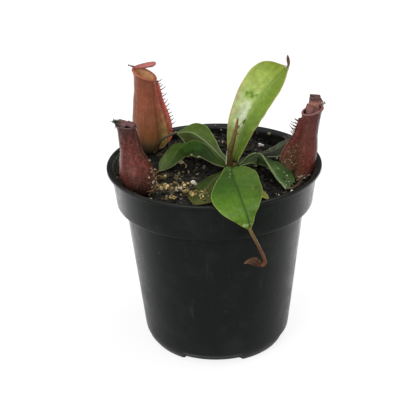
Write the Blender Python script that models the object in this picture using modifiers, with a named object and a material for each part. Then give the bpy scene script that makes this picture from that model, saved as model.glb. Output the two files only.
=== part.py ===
"""Potted pitcher plant: a young Nepenthes growing in a round 108 mm nursery pot.

Every length below is in millimetres and becomes metres where a mesh is made.
The origin is the centre of the pot's underside. +Z is up and -Y is the front.
"""

import math
import random

import bmesh
import bpy
from mathutils import Vector

MM = 0.001
GAP = 0.3
MERGE = 0.01 * MM

# Pot
POT_HEIGHT = 96.7
LIP_RADIUS = 54.0
LIP_WIDTH = 2.1
LIP_HEIGHT = 1.6
WALL = 1.0
COLLAR_TOP_RADIUS = 51.8
COLLAR_FOOT_RADIUS = 49.5
LEDGE_Z = 76.9
BODY_TOP_RADIUS = 45.4
BODY_FOOT_RADIUS = 37.7
BODY_FOOT_Z = 6.6
FOOT_RADIUS = 34.0
POT_STEPS = 72

# The underside stands on a flat disc and four pads, with a raised drain bay between pads.
BAY_COUNT = 4
BAY_HEIGHT = 1.45
BAY_INNER_RADIUS = 17.0
BAY_HALF_ANGLE = math.radians(26.0)
FIRST_BAY_ANGLE = math.radians(-95.0)
DRAIN_HOLE_RADIUS = 3.0
DRAIN_HOLE_CIRCLE = 25.5

# Potting mix. A mound or hollow is (x, y, reach, rise).
SOIL_LEVEL = 88.2
SOIL_STEPS = 44
SOIL_RINGS = 9
MOUNDS = (
    (-4.0, 44.0, 26.0, 3.6),
    (-30.0, 26.0, 14.0, 2.6),
    (10.0, 1.0, 11.0, 2.6),
    (-14.0, -14.0, 16.0, 0.8),
    (-37.0, -12.5, 11.0, -3.2),
    (44.5, 0.0, 8.0, -1.4),
    (25.0, -20.0, 12.0, -1.0),
)

# Rootstock and crown of the plant
CROWN_X = 9.6
CROWN_Y = 1.0
CROWN_TOP = 95.2
ROOTSTOCK_Z = 58.0
STEM_RADIUS = 2.2
ROOTSTOCK_RADIUS = 2.8

# Thin parts
LEAF_THICKNESS = 0.5
CUP_WALL = 0.8
WING_THICKNESS = 0.5
WING_ROOT = 0.4

# Leaves. A station on the midrib is (x, y, z, left width, right width, left lift, right
# lift): the widths run from midrib to margin, and a lift is the angle in degrees by which
# that half rises from flat. "up" is roughly where the leaf's upper side faces.
LEAVES = {
    "leaf_upright": {
        "up": (-0.2, -0.9, 0.42),
        "curl": 8.0,
        "stations": (
            (11.0, 3.4, 95.7, 3.0, 2.4, 40, 50),
            (12.5, 3.8, 101.0, 5.8, 3.8, 25, 45),
            (15.7, 6.0, 114.2, 8.4, 9.2, 15, 38),
            (22.4, 10.0, 125.2, 11.2, 10.4, 12, 35),
            (29.5, 13.0, 132.3, 12.8, 7.6, 12, 35),
            (34.8, 15.0, 137.2, 9.2, 3.8, 18, 35),
            (38.0, 16.0, 140.4, 0.6, 0.5, 20, 30),
        ),
    },
    "leaf_front": {
        "up": (0.0, 0.0, 1.0),
        "curl": -8.0,
        "stations": (
            (9.3, -1.7, 94.4, 1.8, 1.8, 20, 20),
            (8.4, -10.0, 96.4, 7.4, 3.6, 16, 16),
            (9.0, -20.0, 97.4, 11.4, 6.0, 12, 12),
            (9.8, -30.0, 98.0, 11.7, 9.4, 10, 10),
            (11.0, -40.0, 98.4, 11.3, 12.5, 9, 9),
            (12.0, -50.0, 98.6, 9.8, 14.0, 8, 8),
            (13.6, -57.2, 96.6, 6.4, 12.4, 8, 8),
            (15.0, -60.6, 92.8, 2.6, 6.8, 12, 12),
            (15.4, -61.6, 88.4, 0.5, 0.6, 20, 20),
        ),
    },
    "leaf_back_left": {
        "up": (0.1, -0.2, 1.0),
        "curl": -6.0,
        "stations": (
            (7.7, 2.9, 93.6, 1.6, 1.4, 10, 20),
            (1.7, 9.0, 98.0, 3.4, 2.4, -20, 10),
            (-3.3, 16.0, 100.8, 6.0, 5.4, -40, 8),
            (-6.8, 20.0, 102.3, 7.4, 7.6, -48, 6),
            (-9.9, 23.0, 103.4, 7.8, 9.3, -50, 6),
            (-14.0, 26.0, 103.2, 6.0, 8.0, -50, 8),
            (-19.0, 28.8, 101.6, 0.6, 0.6, -30, 8),
        ),
    },
    "leaf_left": {
        "up": (0.0, 0.0, 1.0),
        "curl": -14.0,
        "stations": (
            (6.9, -0.6, 94.2, 1.8, 1.4, 0, 0),
            (2.5, 0.4, 98.5, 4.4, 4.0, -30, -20),
            (-3.3, 3.6, 104.5, 8.0, 7.0, -46, -34),
            (-10.1, 6.0, 106.3, 8.4, 8.6, -50, -36),
            (-16.2, 7.0, 102.9, 6.8, 9.0, -50, -10),
            (-18.9, 7.2, 99.6, 5.2, 9.4, -46, 12),
            (-22.2, 7.0, 95.0, 3.6, 9.2, -40, 20),
            (-25.6, 6.6, 91.8, 2.2, 6.6, -30, 18),
            (-28.2, 5.8, 89.8, 0.5, 0.6, 0, 0),
        ),
    },
    "leaf_right": {
        "up": (0.0, 0.0, 1.0),
        "curl": -10.0,
        "stations": (
            (12.4, 2.0, 94.0, 1.6, 1.6, 0, 0),
            (18.2, 4.0, 98.6, 2.4, 5.4, -50, -48),
            (23.4, 4.2, 99.0, 2.8, 7.2, -46, -56),
            (26.0, 0.0, 96.8, 8.0, 3.4, -16, -64),
            (27.9, -5.0, 95.0, 10.8, 1.2, -7, -60),
            (30.2, -10.0, 92.8, 10.8, 0.7, -5, -50),
            (33.0, -15.0, 90.8, 7.8, 0.6, -2, -40),
            (35.2, -18.4, 89.2, 0.8, 0.6, 0, 0),
        ),
    },
    "leaf_right_back": {
        "up": (0.0, 0.0, 1.0),
        "curl": -6.0,
        "stations": (
            (11.6, 2.8, 92.8, 1.4, 1.4, 10, 10),
            (18.0, 8.6, 94.8, 2.4, 2.6, 8, 8),
            (24.6, 10.6, 95.7, 3.0, 4.4, 5, 5),
            (29.0, 13.6, 95.4, 3.8, 5.6, 0, 0),
            (33.2, 16.6, 96.2, 4.6, 5.8, 0, 0),
            (37.3, 19.0, 98.0, 4.6, 5.0, 0, 0),
            (42.0, 22.0, 100.0, 0.6, 0.6, 0, 0),
        ),
    },
    "leaf_small_back": {
        "up": (0.3, -0.8, 0.5),
        "curl": -6.0,
        "stations": (
            (8.5, 3.5, 92.2, 1.2, 1.2, 20, 20),
            (7.0, 6.0, 93.6, 2.0, 2.0, 14, 14),
            (5.2, 8.8, 94.8, 2.0, 2.0, 10, 10),
            (3.6, 11.4, 95.6, 0.5, 0.5, 0, 0),
        ),
    },
    "leaf_old": {
        "up": (0.0, 0.0, 1.0),
        "curl": -10.0,
        "stations": (
            (8.0, -1.1, 92.4, 1.2, 1.2, 0, 0),
            (2.2, -7.6, 92.4, 4.6, 4.2, -6, -6),
            (-1.8, -14.6, 91.9, 7.6, 6.8, -4, -4),
            (-4.6, -22.0, 91.2, 9.0, 7.6, -2, -2),
            (-7.4, -29.6, 90.5, 7.4, 6.4, 0, 0),
            (-10.0, -35.6, 89.8, 0.7, 0.7, 0, 0),
        ),
    },
    "leaf_low_front": {
        "up": (0.0, 0.0, 1.0),
        "curl": -8.0,
        "stations": (
            (11.1, -1.2, 92.8, 1.0, 1.0, 0, 0),
            (15.6, -10.0, 92.8, 3.4, 3.4, -10, -10),
            (19.4, -17.6, 91.6, 4.4, 4.4, -12, -12),
            (22.8, -24.4, 90.0, 3.6, 3.6, -10, -10),
            (25.8, -29.4, 88.9, 0.5, 0.5, 0, 0),
        ),
    },
}

# Pitchers. The axis runs from the base to the mouth as (x, y, z, radius); "front" is the
# compass direction in degrees that the two wings face; "slope" is how steeply the mouth
# falls from its back to its front; "spread" is the angle from the front to each wing's root;
# the wings are (place along the cup from 0 to 1, width).
PITCHERS = {
    "pitcher_tall": {
        "axis": (
            (-32.4, 26.6, 91.8, 2.6),
            (-32.5, 26.6, 93.4, 4.8),
            (-32.8, 26.6, 97.0, 6.2),
            (-33.3, 26.6, 101.0, 6.9),
            (-34.1, 26.6, 108.0, 7.3),
            (-34.3, 26.6, 115.0, 6.9),
            (-34.2, 26.6, 122.0, 6.1),
            (-34.2, 26.6, 129.0, 5.8),
            (-34.4, 26.5, 134.9, 5.5),
        ),
        "front": -18.0,
        "slope": 0.48,
        "flare": 0.4,
        "spread": 24.0,
        "wings": (
            (0.18, 0.6),
            (0.26, 3.4),
            (0.38, 5.2),
            (0.50, 5.6),
            (0.62, 4.4),
            (0.75, 2.7),
            (0.87, 1.8),
            (0.96, 1.0),
        ),
    },
    "pitcher_left": {
        "axis": (
            (-36.4, -12.4, 86.3, 3.0),
            (-36.7, -12.3, 88.3, 7.2),
            (-37.4, -12.2, 92.0, 8.7),
            (-38.6, -12.0, 97.3, 8.3),
            (-39.6, -12.0, 102.0, 7.0),
            (-40.8, -12.0, 108.0, 5.2),
            (-41.5, -12.0, 114.0, 4.5),
            (-42.1, -12.0, 118.0, 4.5),
            (-42.4, -12.0, 121.8, 4.8),
        ),
        "front": 18.0,
        "slope": 0.18,
        "flare": 0.2,
        "spread": 18.0,
        "wings": (
            (0.20, 0.5),
            (0.35, 1.2),
            (0.60, 1.2),
            (0.80, 1.0),
            (0.92, 0.5),
        ),
    },
    "pitcher_right": {
        "axis": (
            (42.8, -3.2, 88.0, 2.0),
            (43.5, -3.1, 89.2, 3.5),
            (44.6, -3.0, 91.4, 4.4),
            (45.3, -3.0, 94.0, 4.8),
            (46.0, -3.0, 99.0, 5.0),
            (46.4, -3.0, 104.0, 5.0),
            (46.8, -3.0, 110.0, 4.7),
            (47.5, -2.8, 116.0, 4.7),
            (48.8, -2.6, 124.0, 4.8),
        ),
        "front": 192.0,
        "slope": 0.30,
        "flare": 0.4,
        "spread": 20.0,
        "wings": (
            (0.36, 0.5),
            (0.41, 5.0),
            (0.50, 8.6),
            (0.62, 7.6),
            (0.75, 4.6),
            (0.83, 2.6),
            (0.90, 2.2),
            (0.96, 1.6),
        ),
    },
}
CUP_STEPS = 20
CUP_RINGS = 13
FLOOR_RISE = 1.0

# Lids, with stations as for leaves, from the hinge to the free end.
LIDS = {
    "lid_tall": {
        "up": (0.0, 0.0, 1.0),
        "curl": -10.0,
        "stations": (
            (-39.4, 28.4, 138.2, 1.1, 1.1, 0, 0),
            (-37.0, 27.6, 139.4, 3.0, 3.0, -4, -4),
            (-33.8, 26.6, 140.4, 3.6, 3.6, -4, -4),
            (-30.8, 25.6, 141.0, 3.0, 3.0, -4, -4),
            (-28.4, 24.8, 141.4, 0.8, 0.8, 0, 0),
        ),
    },
    "lid_left": {
        "up": (0.1, 0.0, 1.0),
        "curl": -10.0,
        "stations": (
            (-47.2, -13.6, 124.0, 1.0, 1.0, 0, 0),
            (-45.2, -13.0, 124.0, 3.4, 3.4, -4, -4),
            (-42.4, -12.0, 123.7, 4.4, 4.4, -6, -6),
            (-39.6, -11.2, 123.0, 3.6, 3.6, -6, -6),
            (-37.2, -10.4, 122.3, 0.8, 0.8, 0, 0),
        ),
    },
    "lid_right": {
        "up": (-0.2, -0.9, 0.4),
        "curl": -16.0,
        "stations": (
            (54.6, -1.2, 126.9, 0.8, 0.8, 0, 0),
            (52.6, -0.4, 128.0, 2.2, 2.0, -6, -6),
            (51.2, 0.0, 129.0, 2.8, 2.6, -8, -8),
            (50.2, -0.2, 130.0, 2.8, 2.8, -10, -10),
            (50.1, -0.6, 131.2, 2.4, 2.4, -14, -14),
        ),
    },
}
LID_THICKNESS = 0.6

# Round parts: route of (x, y, z, radius)
TUBES = {
    "new_leaf_spike": (
        (8.0, -0.4, 95.6, 1.5),
        (7.9, -1.0, 101.0, 1.7),
        (8.9, -1.4, 106.0, 1.6),
        (10.5, -1.2, 112.0, 1.2),
        (11.7, -1.0, 117.0, 0.8),
        (12.2, -1.0, 120.0, 0.5),
    ),
    "tip_bud": (
        (38.2, 16.1, 141.4, 0.7),
        (38.1, 16.0, 143.2, 0.9),
        (37.9, 15.9, 145.0, 0.8),
        (37.7, 15.8, 146.8, 0.4),
    ),
    "tendril_front": (
        (15.8, -62.3, 88.0, 0.8),
        (17.2, -62.3, 84.8, 0.8),
        (19.2, -61.6, 80.2, 0.8),
        (21.2, -60.4, 75.0, 0.8),
        (22.4, -59.3, 71.0, 0.8),
        (21.9, -59.0, 69.0, 0.9),
        (20.6, -59.0, 68.6, 1.0),
    ),
    "tendril_tall": (
        (-19.8, 28.4, 101.6, 0.6),
        (-21.0, 23.6, 103.0, 0.6),
        (-23.0, 18.8, 104.0, 0.6),
        (-25.2, 17.0, 103.6, 0.6),
        (-27.2, 17.2, 101.6, 0.6),
        (-28.4, 18.2, 98.6, 0.6),
        (-29.2, 19.6, 95.8, 0.6),
        (-30.2, 20.9, 94.0, 0.6),
    ),
    "tendril_left": (
        (-28.8, 5.4, 89.6, 0.6),
        (-29.8, 2.0, 89.8, 0.6),
        (-29.8, -1.6, 90.0, 0.6),
        (-30.6, -4.6, 90.2, 0.6),
    ),
    "tendril_right": (
        (36.0, -19.0, 89.0, 0.6),
        (38.4, -17.6, 89.2, 0.6),
        (41.0, -14.2, 89.2, 0.6),
        (42.8, -10.4, 89.2, 0.6),
        (43.4, -7.3, 89.0, 0.6),
    ),
}
TUBE_STEP = 1.6

# Loose grains lying on the mix: (kind, x, y, long, wide, thick, turn in degrees)
GRAINS = (
    ("vermiculite", -26.0, -2.6, 4.6, 3.4, 2.4, 20),
    ("vermiculite", -24.2, -13.0, 5.2, 3.8, 2.2, -35),
    ("vermiculite", -19.4, -12.0, 4.6, 3.4, 2.2, 50),
    ("vermiculite", -14.8, -13.4, 4.4, 2.8, 2.0, 10),
    ("vermiculite", -17.0, -18.6, 3.6, 2.8, 2.0, 70),
    ("vermiculite", -21.4, -27.6, 4.4, 3.2, 2.4, -10),
    ("bark", -18.0, -3.0, 5.0, 3.2, 1.8, 15),
    ("perlite", -10.6, -11.0, 2.6, 2.2, 1.8, 0),
    ("perlite", -31.8, -28.0, 2.6, 2.2, 1.8, 40),
    ("perlite", 25.4, 36.0, 3.4, 2.6, 2.2, 25),
    ("perlite", 30.0, 31.0, 2.6, 2.0, 1.8, -20),
    ("perlite", 38.0, -22.0, 2.6, 2.0, 1.8, 60),
)

# Colour, roughness and metallic value of each material
MATERIALS = {
    "pot_plastic": ((0.018, 0.022, 0.021), 0.42, 0.0),
    "potting_mix": ((0.020, 0.016, 0.013), 0.95, 0.0),
    "stem_bark": ((0.110, 0.075, 0.040), 0.75, 0.0),
    "leaf_bright": ((0.270, 0.420, 0.050), 0.35, 0.0),
    "leaf_green": ((0.060, 0.150, 0.030), 0.35, 0.0),
    "leaf_dark": ((0.035, 0.085, 0.022), 0.40, 0.0),
    "leaf_faded": ((0.090, 0.100, 0.030), 0.60, 0.0),
    "leaf_rolled": ((0.140, 0.110, 0.035), 0.50, 0.0),
    "tendril_brown": ((0.130, 0.055, 0.022), 0.60, 0.0),
    "pitcher_orange": ((0.300, 0.085, 0.040), 0.45, 0.0),
    "pitcher_maroon": ((0.130, 0.030, 0.028), 0.45, 0.0),
    "pitcher_dried": ((0.160, 0.070, 0.030), 0.70, 0.0),
    "lid_pink": ((0.420, 0.110, 0.090), 0.50, 0.0),
    "lid_withered": ((0.160, 0.075, 0.070), 0.70, 0.0),
    "perlite": ((0.700, 0.660, 0.560), 0.90, 0.0),
    "vermiculite": ((0.430, 0.300, 0.130), 0.70, 0.0),
    "bark": ((0.230, 0.190, 0.110), 0.85, 0.0),
}
MATERIAL_OF = {
    "pot": "pot_plastic",
    "soil": "potting_mix",
    "rootstock": "stem_bark",
    "leaf_upright": "leaf_bright",
    "leaf_front": "leaf_green",
    "leaf_back_left": "leaf_green",
    "leaf_left": "leaf_dark",
    "leaf_right": "leaf_dark",
    "leaf_right_back": "leaf_faded",
    "leaf_small_back": "leaf_dark",
    "leaf_old": "leaf_faded",
    "leaf_low_front": "leaf_faded",
    "pitcher_tall": "pitcher_orange",
    "pitcher_left": "pitcher_maroon",
    "pitcher_right": "pitcher_maroon",
    "pitcher_dried": "pitcher_dried",
    "lid_tall": "lid_pink",
    "lid_left": "lid_withered",
    "lid_right": "lid_withered",
    "new_leaf_spike": "leaf_rolled",
    "tip_bud": "tendril_brown",
    "tendril_front": "tendril_brown",
    "tendril_tall": "tendril_brown",
    "tendril_left": "tendril_brown",
    "tendril_right": "tendril_brown",
}


# Scene helpers


def clear_scene():
    for item in list(bpy.data.objects):
        bpy.data.objects.remove(item, do_unlink=True)


def make_collection(name):
    collection = bpy.data.collections.new(name)
    bpy.context.scene.collection.children.link(collection)
    return collection


def get_material(name):
    """The named material, made once."""
    if name in bpy.data.materials:
        return bpy.data.materials[name]
    colour, roughness, metallic = MATERIALS[name]
    material = bpy.data.materials.new(name)
    material.use_nodes = True
    shader = material.node_tree.nodes["Principled BSDF"]
    shader.inputs["Base Color"].default_value = (*colour, 1.0)
    shader.inputs["Roughness"].default_value = roughness
    shader.inputs["Metallic"].default_value = metallic
    return material


def add_object(name, data, collection, material=None):
    """A new object holding a mesh or curve, with a material if one is named."""
    item = bpy.data.objects.new(name, data)
    collection.objects.link(item)
    if material:
        data.materials.append(get_material(material))
    return item


def mesh_from(bm, name):
    """A smooth-shaded mesh from a bmesh in millimetres."""
    bmesh.ops.scale(bm, vec=(MM, MM, MM), verts=bm.verts)
    mesh = bpy.data.meshes.new(name)
    bm.to_mesh(mesh)
    bm.free()
    mesh.shade_smooth()
    mesh.set_sharp_from_angle(angle=math.radians(40.0))
    return mesh


def mark_cutter(item):
    item.hide_render = True
    item.display_type = "WIRE"


def add_boolean(item, operand, operation):
    modifier = item.modifiers.new(operation.title(), "BOOLEAN")
    modifier.operation = operation
    modifier.solver = "EXACT"
    modifier.object = operand


# Geometry helpers


def spline(rows, t):
    """Catmull-Rom interpolation of equal-length rows, for t from 0 to len(rows) - 1."""
    last = len(rows) - 1
    i = min(int(t), last - 1)
    f = t - i
    width = range(len(rows[0]))
    b = rows[i]
    c = rows[i + 1]
    a = rows[i - 1] if i > 0 else [2.0 * b[k] - c[k] for k in width]
    d = rows[i + 2] if i + 2 <= last else [2.0 * c[k] - b[k] for k in width]
    return [
        b[k]
        + 0.5 * f * (c[k] - a[k])
        + 0.5 * f * f * (2.0 * a[k] - 5.0 * b[k] + 4.0 * c[k] - d[k])
        + 0.5 * f * f * f * (3.0 * b[k] - a[k] - 3.0 * c[k] + d[k])
        for k in width
    ]


def spline_tangent(rows, t):
    """Unit direction of travel of the rows' first three values."""
    step = 0.02
    ahead = spline(rows, min(t + step, len(rows) - 1))
    behind = spline(rows, max(t - step, 0.0))
    return (Vector(ahead[:3]) - Vector(behind[:3])).normalized()


def loft(rings):
    """A closed solid through rings of equal length, with flat ends."""
    bm = bmesh.new()
    verts = [[bm.verts.new(point) for point in ring] for ring in rings]
    for low, high in zip(verts, verts[1:]):
        for i, vert in enumerate(low):
            j = (i + 1) % len(low)
            bm.faces.new((vert, low[j], high[j], high[i]))
    bm.faces.new(list(reversed(verts[0])))
    bm.faces.new(verts[-1])
    return bm


# Pot


def collar_radius(z):
    """Outer radius of the collar at height z."""
    share = (z - LEDGE_Z) / (POT_HEIGHT - LIP_HEIGHT - LEDGE_Z)
    return COLLAR_FOOT_RADIUS + share * (COLLAR_TOP_RADIUS - COLLAR_FOOT_RADIUS)


def body_radius(z):
    """Outer radius of the pot's body below the collar at height z."""
    share = (z - BODY_FOOT_Z) / (LEDGE_Z - BODY_FOOT_Z)
    return BODY_FOOT_RADIUS + share * (BODY_TOP_RADIUS - BODY_FOOT_RADIUS)


def pot_profile():
    """Outside from the lip down to the axis, then inside from the axis up to the lip."""
    under_lip = POT_HEIGHT - LIP_HEIGHT
    mouth = LIP_RADIUS - LIP_WIDTH
    outside = [
        (LIP_RADIUS - 0.3, POT_HEIGHT),
        (LIP_RADIUS, POT_HEIGHT - 0.3),
        (LIP_RADIUS, under_lip + 0.3),
        (LIP_RADIUS - 0.3, under_lip),
        (COLLAR_TOP_RADIUS, under_lip),
        (COLLAR_FOOT_RADIUS, LEDGE_Z + 0.6),
        (COLLAR_FOOT_RADIUS - 0.6, LEDGE_Z),
        (BODY_TOP_RADIUS, LEDGE_Z),
        (BODY_FOOT_RADIUS, BODY_FOOT_Z),
        (36.6, 3.6),
        (35.1, 1.5),
        (FOOT_RADIUS, 0.0),
        (29.0, 0.0),
        (22.0, 0.0),
        (BAY_INNER_RADIUS, 0.0),
        (0.0, 0.0),
    ]
    inside = [
        (0.0, WALL),
        (BAY_INNER_RADIUS, WALL),
        (22.0, WALL),
        (29.0, WALL),
        (FOOT_RADIUS - 0.5, WALL),
        (34.4, 2.4),
        (35.6, 4.2),
        (BODY_FOOT_RADIUS - WALL, BODY_FOOT_Z + 0.4),
        (body_radius(LEDGE_Z) - WALL, LEDGE_Z + 0.6),
        (COLLAR_FOOT_RADIUS - WALL - 0.4, LEDGE_Z + WALL),
        (collar_radius(LEDGE_Z + 2.0) - WALL, LEDGE_Z + 2.0),
        (collar_radius(under_lip) - WALL, under_lip),
        (mouth - 0.3, POT_HEIGHT - 0.5),
        (mouth + 0.2, POT_HEIGHT),
    ]
    return outside + inside


def bay_lift(x, y, z):
    """How far the pressed drain bays raise a point of the pot's base."""
    radius = math.hypot(x, y)
    if radius < BAY_INNER_RADIUS + 0.5 or z > BODY_FOOT_Z - 0.5:
        return 0.0
    spacing = 2.0 * math.pi / BAY_COUNT
    turn = (math.atan2(y, x) - FIRST_BAY_ANGLE + spacing / 2.0) % spacing - spacing / 2.0
    if abs(turn) > BAY_HALF_ANGLE:
        return 0.0
    fade = min(1.0, (BODY_FOOT_Z - z) / 4.0)
    return BAY_HEIGHT * fade


def make_pot(parts, cutters):
    bm = bmesh.new()
    profile = pot_profile()
    verts = [bm.verts.new((radius, 0.0, z)) for radius, z in profile]
    for first, second in zip(verts, verts[1:]):
        bm.edges.new((first, second))
    bm.edges.new((verts[-1], verts[0]))
    turned = add_object("pot_turned", mesh_from(bm, "pot_turned"), cutters)
    screw = turned.modifiers.new("Turn", "SCREW")
    screw.steps = POT_STEPS
    screw.render_steps = POT_STEPS
    screw.use_merge_vertices = True
    screw.merge_threshold = MERGE
    depsgraph = bpy.context.evaluated_depsgraph_get()
    mesh = bpy.data.meshes.new_from_object(turned.evaluated_get(depsgraph))
    bpy.data.objects.remove(turned)
    for vert in mesh.vertices:
        x, y, z = vert.co / MM
        vert.co.z += bay_lift(x, y, z) * MM
    mesh.name = "pot"
    pot = add_object("pot", mesh, parts, MATERIAL_OF["pot"])
    for index in range(BAY_COUNT):
        angle = FIRST_BAY_ANGLE + index * 2.0 * math.pi / BAY_COUNT
        add_boolean(pot, make_drain_cutter(angle, index, cutters), "DIFFERENCE")
    mesh.shade_smooth()
    mesh.set_sharp_from_angle(angle=math.radians(35.0))


def make_drain_cutter(angle, index, cutters):
    bm = bmesh.new()
    bmesh.ops.create_cone(
        bm,
        cap_ends=True,
        segments=16,
        radius1=DRAIN_HOLE_RADIUS,
        radius2=DRAIN_HOLE_RADIUS,
        depth=6.0,
    )
    centre = Vector((math.cos(angle), math.sin(angle), 0.0)) * DRAIN_HOLE_CIRCLE
    bmesh.ops.translate(bm, vec=centre + Vector((0.0, 0.0, 2.0)), verts=bm.verts)
    cutter = add_object(f"drain_cutter_{index}", mesh_from(bm, "drain_cutter"), cutters)
    mark_cutter(cutter)
    return cutter


# Potting mix


def soil_height(x, y):
    """Height of the mix's surface."""
    height = SOIL_LEVEL
    for mound_x, mound_y, reach, rise in MOUNDS:
        distance = ((x - mound_x) ** 2 + (y - mound_y) ** 2) / reach**2
        height += rise * math.exp(-distance)
    ripple = math.sin(0.23 * x + 0.8) * math.cos(0.19 * y - 0.4)
    return height + 0.35 * ripple


def soil_ring(radius_at, z_at):
    ring = []
    for step in range(SOIL_STEPS):
        angle = 2.0 * math.pi * step / SOIL_STEPS
        radius = radius_at(angle)
        x = radius * math.cos(angle)
        y = radius * math.sin(angle)
        ring.append((x, y, z_at(x, y)))
    return ring


def soil_edge_radius(angle):
    """Radius of the mix where it meets the wall of the pot."""
    rough = 50.0
    height = soil_height(rough * math.cos(angle), rough * math.sin(angle))
    return collar_radius(height) - WALL - GAP


def make_soil(parts, cutters):
    floor = WALL + BAY_HEIGHT + GAP
    shoulder = LEDGE_Z + WALL + 0.5
    sides = (
        (29.0, floor),
        (33.4, floor + 1.0),
        (body_radius(8.0) - WALL - GAP, 8.0),
        (body_radius(LEDGE_Z) - WALL - GAP, LEDGE_Z + 0.6 + GAP),
        (COLLAR_FOOT_RADIUS - WALL - GAP - 0.5, shoulder),
        (collar_radius(LEDGE_Z + 2.6) - WALL - GAP, LEDGE_Z + 2.6),
    )
    rings = [
        soil_ring(lambda angle, radius=radius: radius, lambda x, y, z=z: z)
        for radius, z in sides
    ]
    for index in range(SOIL_RINGS):
        share = 1.0 - index / SOIL_RINGS
        rings.append(
            soil_ring(lambda angle, share=share: share * soil_edge_radius(angle), soil_height)
        )
    bm = loft(rings)
    soil = add_object("soil", mesh_from(bm, "soil"), parts, MATERIAL_OF["soil"])
    add_boolean(soil, make_well_cutter(cutters), "DIFFERENCE")


def rootstock_radius(z):
    share = (z - ROOTSTOCK_Z) / (CROWN_TOP - ROOTSTOCK_Z)
    return ROOTSTOCK_RADIUS + share * (STEM_RADIUS - ROOTSTOCK_RADIUS)


def make_well_cutter(cutters):
    """The hole in the mix that the rootstock stands in."""
    bm = bmesh.new()
    bottom = ROOTSTOCK_Z - GAP
    depth = CROWN_TOP - bottom
    bmesh.ops.create_cone(
        bm,
        cap_ends=True,
        segments=16,
        radius1=ROOTSTOCK_RADIUS + 1.5 * GAP,
        radius2=STEM_RADIUS + 1.5 * GAP,
        depth=depth,
    )
    centre = Vector((CROWN_X, CROWN_Y, bottom + depth / 2.0))
    bmesh.ops.translate(bm, vec=centre, verts=bm.verts)
    cutter = add_object("well_cutter", mesh_from(bm, "well_cutter"), cutters)
    mark_cutter(cutter)
    return cutter


def make_rootstock(parts):
    heights = (ROOTSTOCK_Z, 70.0, 82.0, 90.0, CROWN_TOP)
    rings = []
    for z in heights:
        radius = rootstock_radius(z)
        angles = [2.0 * math.pi * step / 14 for step in range(14)]
        rings.append(
            [
                (CROWN_X + radius * math.cos(a), CROWN_Y + radius * math.sin(a), z)
                for a in angles
            ]
        )
    add_object("rootstock", mesh_from(loft(rings), "rootstock"), parts, MATERIAL_OF["rootstock"])


# Leaves and lids


def blade_point(blade, along, across):
    """A point of a leaf's upper side. along is 0 to 1; across is -1 (left) to 1 (right)."""
    stations = blade["stations"]
    t = along * (len(stations) - 1)
    x, y, z, left, right, left_lift, right_lift = spline(stations, t)
    travel = spline_tangent(stations, t)
    to_right = travel.cross(Vector(blade["up"])).normalized()
    normal = to_right.cross(travel)
    width = left if across < 0.0 else right
    lift = left_lift if across < 0.0 else right_lift
    point = Vector((x, y, z))
    steps = 6
    for step in range(steps):
        reach = abs(across) * width / steps
        angle = math.radians(lift + blade["curl"] * abs(across) * (step + 0.5) / steps)
        side = to_right if across > 0.0 else -to_right
        point += reach * (math.cos(angle) * side + math.sin(angle) * normal)
    return point


def make_blade(name, blade, thickness, rows, columns, parts):
    bm = bmesh.new()
    bmesh.ops.create_grid(bm, x_segments=2 * columns, y_segments=rows, size=1.0)
    for vert in bm.verts:
        vert.co = blade_point(blade, (vert.co.y + 1.0) / 2.0, vert.co.x)
    item = add_object(name, mesh_from(bm, name), parts, MATERIAL_OF[name])
    shell = item.modifiers.new("Thickness", "SOLIDIFY")
    shell.thickness = thickness * MM
    shell.offset = -1.0
    return item


# Pitchers


def cup_frame(pitcher):
    """Unit vectors towards the wings and across the cup."""
    angle = math.radians(pitcher["front"])
    front = Vector((math.cos(angle), math.sin(angle), 0.0))
    return front, Vector((-front.y, front.x, 0.0))


def cup_point(pitcher, along, angle, inset=0.0):
    """A point on the cup's wall, at an angle from its front, moved in by inset."""
    axis = pitcher["axis"]
    x, y, z, radius = spline(axis, along * (len(axis) - 1))
    front, across = cup_frame(pitcher)
    oblique = max(0.0, (along - 0.55) / 0.45) ** 2
    flare = pitcher["flare"] * max(0.0, (along - 0.9) / 0.1) ** 2
    radius = max(radius + flare - inset, 0.4)
    drop = pitcher["slope"] * oblique * radius * math.cos(angle)
    reach = radius * (math.cos(angle) * front + math.sin(angle) * across)
    return Vector((x, y, z - drop)) + reach


def cup_ring(pitcher, along, inset=0.0, raise_by=0.0):
    angles = [2.0 * math.pi * step / CUP_STEPS for step in range(CUP_STEPS)]
    lift = Vector((0.0, 0.0, raise_by))
    return [cup_point(pitcher, along, angle, inset) + lift for angle in angles]


def wing_width(pitcher, along):
    """Width of the wings at a place along the cup, from their stations."""
    stations = pitcher["wings"]
    for (start, low), (end, high) in zip(stations, stations[1:]):
        if along <= end:
            return low + (high - low) * (along - start) / (end - start)
    return stations[-1][1]


def wing_point(pitcher, side, share, out):
    """A point of one wing: share runs from its foot to its top, out from root to edge."""
    stations = pitcher["wings"]
    start = stations[0][0]
    along = start + share * (stations[-1][0] - start)
    front, across = cup_frame(pitcher)
    root_angle = side * math.radians(pitcher["spread"])
    outward = math.cos(root_angle / 2.0) * front + math.sin(root_angle / 2.0) * across
    root = cup_point(pitcher, along, root_angle, WING_ROOT)
    return root + outward * out * (wing_width(pitcher, along) + WING_ROOT)


def make_wing(name, pitcher, side, cutters):
    """A flap down the front of the cup, rooted inside the cup's wall."""
    bm = bmesh.new()
    bmesh.ops.create_grid(bm, x_segments=3, y_segments=14, size=1.0)
    for vert in bm.verts:
        vert.co = wing_point(pitcher, side, (vert.co.y + 1.0) / 2.0, (vert.co.x + 1.0) / 2.0)
    wing = add_object(name, mesh_from(bm, name), cutters)
    shell = wing.modifiers.new("Thickness", "SOLIDIFY")
    shell.thickness = WING_THICKNESS * MM
    shell.offset = 0.0
    mark_cutter(wing)
    return wing


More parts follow.
